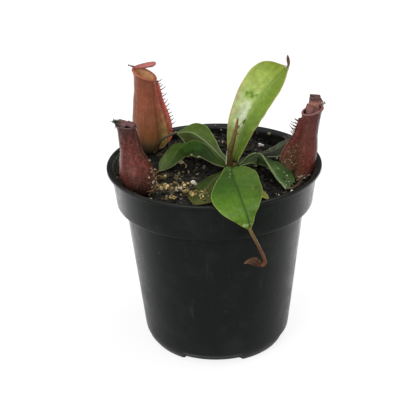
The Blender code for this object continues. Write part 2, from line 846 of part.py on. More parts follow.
def make_pitcher(name, parts, cutters):
    pitcher = PITCHERS[name]
    outer = [cup_ring(pitcher, step / CUP_RINGS) for step in range(CUP_RINGS + 1)]
    inner = [
        cup_ring(pitcher, step / CUP_RINGS, CUP_WALL, FLOOR_RISE * (1.0 - step / CUP_RINGS) ** 4)
        for step in range(CUP_RINGS, -1, -1)
    ]
    bm = loft(outer + inner)
    cup = add_object(name, mesh_from(bm, name), parts, MATERIAL_OF[name])
    for side in (-1, 1):
        wing = make_wing(f"{name}_wing_{side}", pitcher, side, cutters)
        add_boolean(cup, wing, "UNION")


# Round parts


def make_tube(name, route, parts):
    """A tapering round strand along a smooth curve through the route."""
    spans = len(route) - 1
    length = sum(math.dist(a[:3], b[:3]) for a, b in zip(route, route[1:]))
    count = max(3, round(length / TUBE_STEP))
    points = [spline(route, spans * step / count) for step in range(count + 1)]
    curve = bpy.data.curves.new(name, "CURVE")
    curve.dimensions = "3D"
    curve.bevel_depth = MM
    curve.bevel_resolution = 2
    curve.use_fill_caps = True
    strand = curve.splines.new("POLY")
    strand.points.add(len(points) - 1)
    for point, (x, y, z, radius) in zip(strand.points, points):
        point.co = (x * MM, y * MM, z * MM, 1.0)
        point.radius = radius
    add_object(name, curve, parts, MATERIAL_OF[name])


def make_dried_pitcher(parts):
    """The small aborted pitcher at the end of the hanging tendril."""
    route = (
        (20.0, -59.2, 69.6, 0.9),
        (18.6, -59.2, 70.2, 1.7),
        (16.8, -59.2, 70.9, 1.7),
        (15.2, -59.2, 70.9, 1.2),
        (13.9, -59.2, 70.4, 0.8),
        (12.9, -59.2, 69.8, 0.5),
    )
    make_tube("pitcher_dried", route, parts)


# Grains


def make_grain(name, kind, spec, seed, parts):
    x, y, long, wide, thick, turn = spec
    shuffle = random.Random(seed)
    bm = bmesh.new()
    bmesh.ops.create_icosphere(bm, subdivisions=1, radius=0.5)
    for vert in bm.verts:
        vert.co *= 1.0 + shuffle.uniform(-0.12, 0.10)
        vert.co = Vector((vert.co.x * long, vert.co.y * wide, vert.co.z * thick))
    angle = math.radians(turn)
    lowest = 0.0
    for vert in bm.verts:
        px, py, pz = vert.co
        vert.co.x = x + px * math.cos(angle) - py * math.sin(angle)
        vert.co.y = y + px * math.sin(angle) + py * math.cos(angle)
        lowest = max(lowest, soil_height(vert.co.x, vert.co.y) - pz)
    bmesh.ops.translate(bm, vec=(0.0, 0.0, lowest + GAP), verts=bm.verts)
    add_object(name, mesh_from(bm, name), parts, kind)


def make_grains(parts):
    counts = {}
    for seed, (kind, *spec) in enumerate(GRAINS):
        counts[kind] = counts.get(kind, 0) + 1
        make_grain(f"{kind}_{counts[kind]}", kind, spec, seed, parts)


def main():
    clear_scene()
    parts = make_collection("potted_pitcher_plant")
    cutters = make_collection("cutters")
    make_pot(parts, cutters)
    make_soil(parts, cutters)
    make_rootstock(parts)
    for name, blade in LEAVES.items():
        make_blade(name, blade, LEAF_THICKNESS, 14, 3, parts)
    for name in PITCHERS:
        make_pitcher(name, parts, cutters)
    for name, blade in LIDS.items():
        make_blade(name, blade, LID_THICKNESS, 8, 3, parts)
    for name, route in TUBES.items():
        make_tube(name, route, parts)
    make_dried_pitcher(parts)
    make_grains(parts)


main()
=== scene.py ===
"""Looks of the potted pitcher plant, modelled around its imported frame.

Every length in the tables and functions is in millimetres and becomes metres where a
mesh is made. The frame's origin is the centre of the pot's underside, +Z is up and -Y
is the front. The mounds, grains, leaves and pitchers have the stations of the CAD
source, so each fine surface lies where the solid that it replaces lies. Only
leaf_low_front is drawn narrower than its solid, and the wings of pitcher_right closer
together. Lids and strands follow their solids, with ends and folds of their own.
"""

import math
import random

import bmesh
import bpy
import numpy as np
from mathutils import Matrix, Vector, noise


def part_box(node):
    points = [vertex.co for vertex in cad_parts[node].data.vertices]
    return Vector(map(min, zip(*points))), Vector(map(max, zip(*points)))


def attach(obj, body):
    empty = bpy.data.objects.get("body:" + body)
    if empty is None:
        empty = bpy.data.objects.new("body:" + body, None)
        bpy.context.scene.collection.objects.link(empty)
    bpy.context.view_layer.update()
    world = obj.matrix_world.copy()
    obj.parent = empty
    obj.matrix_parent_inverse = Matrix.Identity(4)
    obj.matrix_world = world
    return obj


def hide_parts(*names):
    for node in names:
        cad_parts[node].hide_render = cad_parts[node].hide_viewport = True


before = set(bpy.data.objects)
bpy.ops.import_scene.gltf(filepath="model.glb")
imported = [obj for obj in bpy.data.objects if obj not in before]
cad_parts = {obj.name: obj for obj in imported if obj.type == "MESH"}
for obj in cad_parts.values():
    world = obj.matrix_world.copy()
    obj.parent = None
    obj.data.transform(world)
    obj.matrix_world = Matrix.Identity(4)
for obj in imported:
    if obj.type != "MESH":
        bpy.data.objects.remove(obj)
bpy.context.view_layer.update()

MM = 0.001

# Takes the height out of a vector, and only lifts
FLAT = (1.0, 1.0, 0.0)
UPWARDS = np.array((0.0, 0.0, 1.0))

# Pot, from its box in the frame
POT_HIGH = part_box("pot")[1]
POT_HEIGHT = POT_HIGH.z / MM
LIP_RADIUS = POT_HIGH.x / MM
LIP_WIDTH = 2.1
LIP_HEIGHT = 1.6
WALL = 1.0
COLLAR_TOP_RADIUS = LIP_RADIUS - 2.2
COLLAR_FOOT_RADIUS = LIP_RADIUS - 4.5
LEDGE_Z = 76.9
BODY_TOP_RADIUS = 45.4
BODY_FOOT_RADIUS = 37.7
BODY_FOOT_Z = 6.6
HEEL = ((36.6, 3.6, 1.2), (35.1, 1.5, 0.8))
FOOT_RADIUS = 34.0
POT_STEPS = 200
CORNER_STEPS = 4
BAY_COUNT = 4
BAY_HEIGHT = 1.45
BAY_INNER_RADIUS = 17.0
BAY_HALF_ANGLE = math.radians(26.0)
FIRST_BAY_ANGLE = math.radians(-95.0)
DRAIN_HOLE_RADIUS = 3.0
DRAIN_HOLE_CIRCLE = 25.5
CUTTER_HEIGHT = 6.0
WELD_REACH = 0.03
SEAM_REACH = 0.002
CREASE_ANGLE = math.radians(50.0)
POT_SAG = (0.12, 60.0)

# Potting mix. A mound or hollow is (x, y, reach, rise); a spot of painted shade is
# (x, y, reach, share of the colour that it takes away).
SOIL_LEVEL = 88.2
SOIL_FOOT = 60.0
SOIL_EDGE = 50.0
STREWN_EDGE = 49.5
MOUNDS = (
    (-4, 44, 26, 3.6), (-30, 26, 14, 2.6), (10, 1, 11, 2.6), (-14, -14, 16, 0.8),
    (-37, -12.5, 11, -3.2), (44.5, 0, 8, -1.4), (25, -20, 12, -1),
)
SHADE_SPOTS = ((26.0, -14.0, 18.0, 0.7), (10.0, 46.0, 20.0, 0.4))

# Rise, size and seed of the waves that crumbs make in the mix
SOIL_WAVES = ((0.9, 7.0, 11), (0.55, 2.6, 12), (0.3, 1.0, 13))

# Points along and across a leaf, a lid and a wing; around and up a cup; around and
# across a lip; around and across the mix
LEAF_GRID = (110, 49)
LID_GRID = (60, 37)
WING_GRID = (90, 16)
CUP_GRID = (120, 110)
LIP_GRID = (240, 14)
SOIL_GRID = (300, 96)
LINING_ROWS = 50

# Blade: steps of its curl from rib to margin, and its thickness; depth and half width of
# the groove over its rib; rise, distance from the rib and half width of the groove's
# shoulders; rise and spacing of its pleats; rise and size of its waves. RIB_SHARPNESS is
# how quickly one half's colours give way to the other's at the rib.
CURL_STEPS = 6
LEAF_THICKNESS = 0.45
LID_THICKNESS = 0.5
RIB_GROOVE = (0.26, 0.55)
RIB_SHOULDER = (0.16, 1.5, 0.9)
PLEATS = (0.02, 2.3)
BROAD_WAVES = (0.35, 9.0)
FINE_WAVES = (0.12, 3.0)
MARGIN_WAVES = (0.45, 4.5)
RIB_SHARPNESS = 14.0
LEAF_SHINE = 0.18
SMALL_SPOT = 2.0
SMALL_SPOT_EDGE = 2.6
LARGE_SPOT_EDGE = 1.5
SPOT_MARGIN = 1.08

CUP_WALL = 0.8
WING_ROOT = 0.4
WING_THICKNESS = 0.4
HAIR_RADIUS = 0.29
HAIR_STEP = 4
LIP_RIBS = 60.0
MOUTH_SHADE = 0.35
TUBE_SIDES = 28
TUBE_STEP = 0.25
STEM_GRID = (120, 48)
STEM_RADII = (2.8, 2.2)

# What is strewn about: seeds of the random draws and of the first lumps' shapes, and
# counts
SEEDS = {
    "crumbs": 5, "litter": 8, "wall": 14, "vermiculite": 31, "perlite": 32, "bark": 33,
    "grit": 34, "spurs": 35, "wings": 50,
}
FIRST_LUMP = {
    "wall": 5000, "piles": 7000, "pale bits": 8500, "grit": 11000, "vermiculite": 40,
    "perlite": 60, "bark": 80,
}
CRUMB_COUNT = 1700
FIBRE_COUNT = 420
FIBRE_STEPS = 6
WALL_SPECK_COUNT = 330
WING_SPECK_COUNT = 42

# Studio: the sky's light rises towards SKY_SIDE and the floor's towards FLOOR_SIDE, each
# by a range of (from, to, low, high), the floor's from and to in metres. FLOOR_GLOW is
# how bright the camera sees the floor.
SKY_SIDE = (-0.25, -0.45, 0.85)
SKY_RANGE = (0.0, 0.85, 0.08, 0.95)
FLOOR_SIDE = (0.02, 1.0, 0.0)
FLOOR_RANGE = (-0.10, 0.17, 0.0, 1.4)
FLOOR_GLOW = 0.80
FLOOR_COLOUR = (0.30, 0.30, 0.295)
FLOOR_REACH = 9000.0
WHITE = (1.0, 1.0, 1.0)

# Soft lights, in metres: (name, place, side, watts), aimed at the plant
SOFTBOXES = (
    ("overhead", (0.30, 0.05, 1.0), 0.6, 2.6),
    ("front_left", (-0.42, -0.80, 0.62), 0.5, 2.6),
)
PLANT = (0.0, 0.0, 0.09)

# Camera, in millimetres and degrees
CAMERA_AIM = (-3.57, 0.0, 71.16)
CAMERA_DISTANCE = 608.9
CAMERA_ELEVATION = 25.044
CAMERA_ROLL = -1.329
CAMERA_LENS = 103.05
CAMERA_SENSOR = 36.0

# Colours, as sRGB out of 255
PEAT = (28, 26, 20)
WET_PEAT = (13, 13, 10)
BARK_BROWN = (88, 70, 50)
FIBRE = (128, 112, 84)
CREAM = (206, 190, 156)
CHALK = (232, 228, 214)
GOLD = (186, 158, 88)
ROOT_BROWN = (150, 112, 84)
BARK_OLIVE = (128, 120, 84)
STEM_OLIVE = (92, 78, 46)
PLASTIC = (26, 31, 28)
PLASTIC_FILM = (37, 42, 38)
SCUFF = (92, 96, 92)
SPLASH = (150, 146, 132)
# Painted shade on the inside of the pot's back wall
SHADED_WALL = (10, 13, 11)
WALL_DUST = (108, 108, 100)
LEAF_FLECK = (168, 176, 128)
DARK_STREAK = (70, 40, 32)
PALE_DOT = (204, 160, 130)

# Colours to draw from, the frequent ones several times, and shades of the golden chips
CRUMB_TONES = (WET_PEAT,) * 5 + (PEAT,) * 4 + ((52, 46, 35), (74, 66, 50))
FIBRE_TONES = (BARK_BROWN, PEAT, PEAT, WET_PEAT, FIBRE, (96, 88, 70))
DIRT_TONES = (WET_PEAT, PEAT, PEAT, BARK_BROWN, FIBRE)
GOLD_TONES = (GOLD, (210, 188, 130), (150, 124, 74), (172, 146, 88), CREAM, (190, 164, 108))
GOLD_SHADES = (0.06, 0.2, 0.6, 1.0)
GRIT_TONES = (CREAM, CREAM, CHALK, GOLD, (170, 128, 96), (122, 82, 62), BARK_BROWN)
WING_TONES = (CREAM, CREAM, GOLD, FIBRE)

# Leaves. A station on the midrib is (x, y, z, left width, right width, left lift, right
# lift), with lifts in degrees; "up" is about the way the blade faces; "curl" bends both
# halves by that many degrees more towards their margins. Colours are (place along the
# leaf, left half, right half). A spot is (place along, place across from -1 at the left
# margin to 1, reach, colour); some are blemishes and some painted highlights, as noted
# at each leaf. "rib" and "edge" are colours, "gloss" is the roughness and "shine" the
# specular level.
LEAVES = {
    "leaf_upright": {
        "slot": "leaf_bright", "up": (-0.2, -0.9, 0.42), "curl": 8,
        "stations": (
            (11, 3.4, 95.7, 3, 2.4, 40, 50), (12.5, 3.8, 101, 5.8, 3.8, 25, 45),
            (15.7, 6, 114.2, 8.4, 9.2, 15, 38), (22.4, 10, 125.2, 11.2, 10.4, 12, 35),
            (29.5, 13, 132.3, 12.8, 7.6, 12, 35), (34.8, 15, 137.2, 9.2, 3.8, 18, 35),
            (38, 16, 140.4, 0.6, 0.5, 20, 30),
        ),
        # Painted highlight: the pale left half around 0.4 along stands for glare on the blade, and
        # the pale last row for a highlight at the tip.
        "colours": (
            (0, (104, 110, 48), (96, 118, 44)), (0.2, (140, 154, 76), (98, 128, 44)),
            (0.4, (184, 200, 128), (108, 136, 44)), (0.6, (172, 192, 92), (116, 142, 46)),
            (0.85, (152, 174, 58), (118, 140, 46)), (0.95, (150, 162, 62), (116, 138, 52)),
            (1, (214, 216, 196), (186, 192, 158)),
        ),
        # Painted highlight: the ones at (0.33, -0.36), (0.38, -0.34), (0.44, -0.36) and (0.44, -0.74)
        # are glare on the left half, the three at the left margin a pale glare along it, and (0.97,
        # 0) a highlight at the tip. The green ones near 0.5 along set the glare's ragged edge; (0.35,
        # -0.04) and (0.31, -0.33) are blemishes.
        "spots_and_highlights": (
            (0.44, -0.74, 3.4, (190, 206, 140)), (0.33, -0.36, 3, (206, 218, 176)),
            (0.38, -0.34, 3, (212, 223, 186)), (0.44, -0.36, 2.6, (212, 222, 178)),
            (0.505, -0.42, 2.6, (156, 182, 78)), (0.5, -0.58, 0.9, (112, 148, 48)),
            (0.515, -0.44, 0.8, (108, 142, 48)), (0.5, -0.3, 0.9, (104, 138, 46)),
            (0.525, -0.16, 0.9, (110, 144, 48)), (0.55, 0.02, 0.8, (100, 132, 46)),
            (0.35, -0.04, 0.8, (44, 66, 28)), (0.31, -0.33, 0.6, (70, 84, 40)),
            (0.97, 0, 1.5, (222, 226, 206)), (0.46, -0.97, 2.4, (206, 198, 144)),
            (0.38, -0.95, 2.2, (206, 196, 144)), (0.54, -1, 2.2, (198, 192, 116)),
        ),
        "rib": (132, 158, 74), "edge": (176, 168, 96), "gloss": 0.32, "shine": 0.3,
    },
    "leaf_front": {
        "slot": "leaf_green", "up": (0, 0, 1), "curl": -8,
        "stations": (
            (9.3, -1.7, 94.4, 1.8, 1.8, 20, 20), (8.4, -10, 96.4, 7.4, 3.6, 16, 16),
            (9, -20, 97.4, 11.4, 6, 12, 12), (9.8, -30, 98, 11.7, 9.4, 10, 10),
            (11, -40, 98.4, 11.3, 12.5, 9, 9), (12, -50, 98.6, 9.8, 14, 8, 8),
            (13.6, -57.2, 96.6, 6.4, 12.4, 8, 8), (15, -60.6, 92.8, 2.6, 6.8, 12, 12),
            (15.4, -61.6, 88.4, 0.5, 0.6, 20, 20),
        ),
        "colours": (
            (0, (66, 94, 38), (84, 104, 52)), (0.25, (80, 108, 42), (52, 84, 30)),
            (0.5, (74, 106, 34), (60, 96, 28)), (0.75, (76, 112, 24), (88, 126, 28)),
            (1, (86, 116, 34), (98, 128, 44)),
        ),
        # Painted highlight: (0.13, 0.16), (0.22, 0.22) and (0.28, 0.3) are a pale sheen beside the
        # rib and (0.93, 0.3) a highlight near the tip; the others are blemishes near the left margin.
        "spots_and_highlights": (
            (0.49, -0.74, 1.3, (66, 84, 38)), (0.53, -0.88, 1.1, (74, 88, 42)),
            (0.5, -0.6, 0.7, (126, 142, 62)), (0.47, -0.66, 0.5, (132, 146, 70)),
            (0.5, -0.86, 0.5, (72, 60, 32)), (0.13, 0.16, 1.3, (132, 158, 100)),
            (0.93, 0.3, 1.3, (162, 184, 116)), (0.22, 0.22, 0.9, (150, 164, 112)),
            (0.28, 0.3, 0.8, (140, 158, 104)),
        ),
        # Painted shade: the dark rib colour stands for the shade in the groove over the rib.
        "rib": (52, 76, 32), "edge": (140, 158, 76), "gloss": 0.34,
    },
    "leaf_back_left": {
        "slot": "leaf_green", "up": (0.1, -0.2, 1), "curl": -6,
        "stations": (
            (7.7, 2.9, 93.6, 1.6, 1.4, 10, 20), (1.7, 9, 98, 3.4, 2.4, -20, 10),
            (-3.3, 16, 100.8, 6, 5.4, -40, 8), (-6.8, 20, 102.3, 7.4, 7.6, -48, 6),
            (-9.9, 23, 103.4, 7.8, 9.3, -50, 6), (-14, 26, 103.2, 6, 8, -50, 8),
            (-19, 28.8, 101.6, 0.6, 0.6, -30, 8),
        ),
        "colours": (
            (0, (64, 82, 34), (70, 88, 38)), (0.4, (48, 60, 20), (70, 92, 28)),
            (0.8, (56, 68, 24), (76, 98, 30)), (1, (74, 84, 44), (84, 98, 46)),
        ),
        "rib": (122, 136, 92), "edge": (166, 188, 118), "gloss": 0.36,
    },
    "leaf_left": {
        "slot": "leaf_dark", "up": (0, 0, 1), "curl": -14,
        "stations": (
            (6.9, -0.6, 94.2, 1.8, 1.4, 0, 0), (2.5, 0.4, 98.5, 4.4, 4, -30, -20),
            (-3.3, 3.6, 104.5, 8, 7, -46, -34), (-10.1, 6, 106.3, 8.4, 8.6, -50, -36),
            (-16.2, 7, 102.9, 6.8, 9, -50, -10), (-18.9, 7.2, 99.6, 5.2, 9.4, -46, 12),
            (-22.2, 7, 95, 3.6, 9.2, -40, 20), (-25.6, 6.6, 91.8, 2.2, 6.6, -30, 18),
            (-28.2, 5.8, 89.8, 0.5, 0.6, 0, 0),
        ),
        "colours": (
            (0, (52, 68, 28), (62, 78, 34)), (0.3, (26, 46, 8), (44, 64, 14)),
            (0.6, (40, 60, 14), (58, 82, 26)), (0.8, (74, 94, 50), (88, 106, 56)),
            (1, (92, 106, 70), (94, 108, 72)),
        ),
        "rib": (84, 104, 54), "edge": (124, 128, 82), "gloss": 0.5, "shine": 0.04,
        # Painted highlight: the four at the left margin are light along that edge; the two at -0.3
        # are darker patches.
        "spots_and_highlights": (
            (0.24, -1, 1.1, (186, 176, 136)), (0.34, -1, 1.2, (176, 166, 124)),
            (0.44, -1, 1.1, (190, 182, 142)), (0.54, -1, 1, (170, 164, 120)),
            (0.44, -0.3, 3.6, (44, 70, 20)), (0.32, -0.3, 3.6, (38, 66, 14)),
        ),
    },
    "leaf_right": {
        "slot": "leaf_dark", "up": (0, 0, 1), "curl": -10,
        "stations": (
            (12.4, 2, 94, 1.6, 1.6, 0, 0), (18.2, 4, 98.6, 2.4, 5.4, -50, -48),
            (23.4, 4.2, 99, 2.8, 7.2, -46, -56), (26, 0, 96.8, 8, 3.4, -16, -64),
            (27.9, -5, 95, 10.8, 1.2, -7, -60), (30.2, -10, 92.8, 10.8, 0.7, -5, -50),
            (33, -15, 90.8, 7.8, 0.6, -2, -40), (35.2, -18.4, 89.2, 0.8, 0.6, 0, 0),
        ),
        "colours": (
            (0, (62, 78, 36), (54, 68, 30)), (0.3, (44, 62, 24), (34, 44, 18)),
            (0.6, (70, 96, 44), (40, 54, 24)), (0.85, (62, 90, 46), (52, 70, 34)),
            (1, (68, 86, 52), (68, 86, 52)),
        ),
        "spots_and_highlights": (
            (0.67, -0.54, 0.9, (120, 140, 92)), (0.6, -0.38, 0.7, (132, 150, 104)),
            (0.8, -0.3, 1, (46, 62, 32)),
        ),
        "rib": (136, 156, 104), "edge": (126, 146, 88), "gloss": 0.36,
    },
    "leaf_right_back": {
        "slot": "leaf_faded", "up": (0, 0, 1), "curl": -6,
        "stations": (
            (11.6, 2.8, 92.8, 1.4, 1.4, 10, 10), (18, 8.6, 94.8, 2.4, 2.6, 8, 8),
            (24.6, 10.6, 95.7, 3, 4.4, 5, 5), (29, 13.6, 95.4, 3.8, 5.6, 0, 0),
            (33.2, 16.6, 96.2, 4.6, 5.8, 0, 0), (37.3, 19, 98, 4.6, 5, 0, 0),
            (42, 22, 100, 0.6, 0.6, 0, 0),
        ),
        "colours": (
            (0, (50, 54, 32), (46, 50, 32)), (0.4, (64, 70, 50), (40, 42, 28)),
            (0.8, (74, 80, 60), (48, 51, 36)), (1, (76, 80, 58), (62, 65, 46)),
        ),
        "spots_and_highlights": (
            (0.5, -0.35, 0.8, (28, 32, 20)), (0.6, -0.15, 0.8, (30, 34, 22)),
            (0.7, -0.45, 0.8, (110, 118, 94)), (0.44, -0.6, 0.8, (104, 112, 88)),
            (0.56, -0.75, 0.7, (116, 124, 100)),
        ),
        "rib": (44, 48, 34), "edge": (132, 138, 110), "gloss": 0.42,
    },
    "leaf_small_back": {
        "slot": "leaf_dark", "up": (0.3, -0.8, 0.5), "curl": -6,
        "stations": (
            (8.5, 3.5, 92.2, 1.2, 1.2, 20, 20), (7, 6, 93.6, 2, 2, 14, 14),
            (5.2, 8.8, 94.8, 2, 2, 10, 10), (3.6, 11.4, 95.6, 0.5, 0.5, 0, 0),
        ),
        "colours": ((0, (64, 84, 44), (64, 84, 44)), (1, (70, 96, 48), (70, 96, 48))),
        "rib": (96, 116, 70), "edge": (112, 130, 84), "gloss": 0.4,
    },
    "leaf_old": {
        "slot": "leaf_faded", "up": (0, 0, 1), "curl": -10,
        "stations": (
            (8, -1.1, 92.4, 1.2, 1.2, 0, 0), (2.2, -7.6, 92.4, 4.6, 4.2, -6, -6),
            (-1.8, -14.6, 91.9, 7.6, 6.8, -4, -4), (-4.6, -22, 91.2, 9, 7.6, -2, -2),
            (-7.4, -29.6, 90.5, 7.4, 6.4, 0, 0), (-10, -35.6, 89.8, 0.7, 0.7, 0, 0),
        ),
        "colours": (
            (0, (44, 56, 22), (42, 56, 19)), (0.4, (52, 66, 20), (46, 62, 18)),
            (0.75, (66, 74, 26), (56, 66, 24)), (1, (84, 82, 38), (74, 74, 32)),
        ),
        "rib": (78, 86, 40), "edge": (96, 86, 48), "gloss": 0.5,
    },
    "leaf_low_front": {
        "slot": "leaf_faded", "up": (0, 0, 1), "curl": -8,
        "stations": (
            (11.1, -1.2, 92.8, 1, 1, 0, 0), (15.6, -10, 92.8, 1.4, 3.4, -10, -10),
            (19.4, -17.6, 91.6, 1.2, 4.4, -12, -12), (22.8, -24.4, 90, 2, 3.6, -10, -10),
            (25.8, -29.4, 88.9, 0.5, 0.5, 0, 0),
        ),
        "colours": (
            (0, (66, 70, 36), (66, 70, 36)), (0.6, (96, 98, 46), (96, 98, 46)),
            (0.85, (150, 152, 70), (150, 150, 70)), (1, (160, 158, 76), (164, 158, 76)),
        ),
        "rib": (120, 120, 66), "edge": (150, 144, 84), "gloss": 0.5,
    },
}

# Pitchers. The axis runs from the base to the mouth as (x, y, z, radius). "front" is the
# compass direction in degrees that the wings face, and "spread" turns each wing's root
# from it. "slope" is the mouth's fall from back to front and "flare" its widening. The
# wings are (place along the cup, width). Colours are (place along the cup, front, sides,
# back). Wing colours are low root, low edge, high root and high edge of both wings.
# "rim" is (roll, lift) of the lip's section. The wings of the hairy sides, -1 or 1, have
# hairs of the length "hair" from the share "hair_from" upwards. "wrinkle" is the depth of
# the cup's creases. In "skin", speckle is the strength of dark streaks and of patches of
# the colour blotch, mottle that of fine mottling, flecks that of pale dots, and gloss
# the roughness.
PITCHERS = {
    "pitcher_tall": {
        "slot": "pitcher_orange",
        "axis": (
            (-32.4, 26.6, 91.8, 2.6), (-32.5, 26.6, 93.4, 4.8), (-32.8, 26.6, 97, 6.2),
            (-33.3, 26.6, 101, 6.9), (-34.1, 26.6, 108, 7.3), (-34.3, 26.6, 115, 6.9),
            (-34.2, 26.6, 122, 6.1), (-34.2, 26.6, 129, 5.8), (-34.4, 26.5, 134.9, 5.5),
        ),
        "front": -18, "slope": 0.48, "flare": 0.4, "spread": 24,
        "wings": (
            (0.18, 0.6), (0.26, 3.4), (0.38, 5.2), (0.5, 5.6), (0.62, 4.4), (0.75, 2.7),
            (0.87, 1.8), (0.96, 1),
        ),
        # The darkest rows at the foot are partly the cup's own olive colour and partly painted shadow
        # where it meets the mix.
        "colours": (
            (0, (44, 46, 32), (38, 40, 30), (38, 40, 30)),
            (0.14, (62, 58, 38), (48, 48, 34), (50, 50, 34)),
            (0.28, (104, 86, 51), (88, 73, 46), (85, 70, 44)),
            (0.42, (160, 104, 66), (146, 92, 58), (132, 84, 56)),
            (0.7, (162, 96, 70), (156, 88, 62), (144, 82, 60)),
            (1, (158, 94, 72), (150, 84, 62), (138, 78, 58)),
        ),
        # The far wing's colours, the second set, are partly its own pink and partly painted light,
        # raised so that the wing looks lit.
        "wing_colours": (
            ((112, 94, 50), (176, 158, 88), (146, 80, 60), (170, 96, 74)),
            ((200, 158, 100), (255, 146, 130), (214, 126, 92), (255, 140, 134)),
        ),
        # pitcher_tall's lining is partly its own pale tan and partly painted light, raised so that
        # the inside of the mouth looks lit under the lid.
        "rim": (0.6, 0.4), "rim_colour": (164, 92, 68), "lining": (254, 202, 150),
        "hairy_sides": (1,), "hair": 2, "hair_from": 0.3, "hair_colour": (40, 26, 28),
        "wrinkle": 0.1,
        "skin": {
            "speckle": 0.2, "blotch": (118, 52, 42), "mottle": 0.12, "gloss": 0.44, "flecks": 0.22,
        },
    },
    "pitcher_left": {
        "slot": "pitcher_maroon",
        "axis": (
            (-36.4, -12.4, 86.3, 3), (-36.7, -12.3, 88.3, 7.2), (-37.4, -12.2, 92, 8.7),
            (-38.6, -12, 97.3, 8.3), (-39.6, -12, 102, 7), (-40.8, -12, 108, 5.2),
            (-41.5, -12, 114, 4.5), (-42.1, -12, 118, 4.5), (-42.4, -12, 121.8, 4.8),
        ),
        "front": 18, "slope": 0.18, "flare": 0.2, "spread": 18,
        "wings": ((0.2, 0.5), (0.35, 1.2), (0.6, 1.2), (0.8, 1), (0.92, 0.5)),
        "colours": (
            (0, (44, 34, 28), (42, 32, 26), (44, 34, 28)),
            (0.2, (52, 36, 29), (53, 35, 28), (58, 38, 31)),
            (0.32, (76, 45, 37), (78, 44, 37), (80, 45, 37)),
            (0.45, (112, 58, 49), (116, 56, 48), (114, 57, 49)),
            (0.7, (112, 56, 50), (116, 56, 50), (104, 54, 48)),
            (0.9, (94, 54, 50), (96, 56, 52), (88, 52, 48)),
            (1, (92, 64, 62), (92, 64, 62), (88, 60, 58)),
        ),
        "wing_colours": (
            ((84, 50, 42), (88, 54, 42), (96, 58, 46), (100, 60, 48)),
            ((84, 50, 42), (88, 54, 42), (96, 58, 46), (100, 60, 48)),
        ),
        "rim": (0.35, 0.35), "rim_colour": (98, 72, 72), "lining": (70, 48, 44),
        "hairy_sides": (), "wrinkle": 0.36,
        "skin": {
            "speckle": 0.45, "blotch": (150, 92, 86), "mottle": 0.52, "gloss": 0.32, "flecks": 0.5,
        },
    },
    "pitcher_right": {
        "slot": "pitcher_maroon",
        "axis": (
            (42.8, -3.2, 88, 2), (43.5, -3.1, 89.2, 3.5), (44.6, -3, 91.4, 4.4),
            (45.3, -3, 94, 4.8), (46, -3, 99, 5), (46.4, -3, 104, 5), (46.8, -3, 110, 4.7),
            (47.5, -2.8, 116, 4.7), (48.8, -2.6, 124, 4.8),
        ),
        "front": 192, "slope": 0.3, "flare": 0.4, "spread": 12,
        "wings": (
            (0.36, 0.5), (0.41, 5), (0.5, 8.6), (0.62, 7.6), (0.75, 4.6), (0.83, 2.6), (0.9, 2.2),
            (0.96, 1.6),
        ),
        "colours": (
            (0, (64, 46, 38), (66, 48, 40), (58, 44, 38)),
            (0.2, (92, 64, 46), (96, 60, 48), (80, 54, 46)),
            (0.5, (110, 70, 48), (124, 60, 52), (118, 58, 52)),
            (0.8, (106, 60, 50), (112, 60, 54), (110, 56, 52)),
            (1, (100, 56, 52), (104, 60, 56), (100, 56, 52)),
        ),
        "wing_colours": (
            ((96, 70, 50), (108, 84, 58), (116, 56, 48), (132, 54, 48)),
            ((96, 66, 48), (112, 84, 58), (106, 56, 48), (130, 54, 50)),
        ),
        "rim": (0.5, 0.5), "rim_colour": (136, 92, 88), "lining": (96, 60, 56),
        "hairy_sides": (-1, 1), "hair": 2.7, "hair_from": 0.6, "hair_colour": (100, 92, 84),
        "wrinkle": 0.14,
        "skin": {
            "speckle": 0.3, "blotch": (118, 52, 42), "mottle": 0.5, "gloss": 0.36, "flecks": 0.6,
        },
    },
}

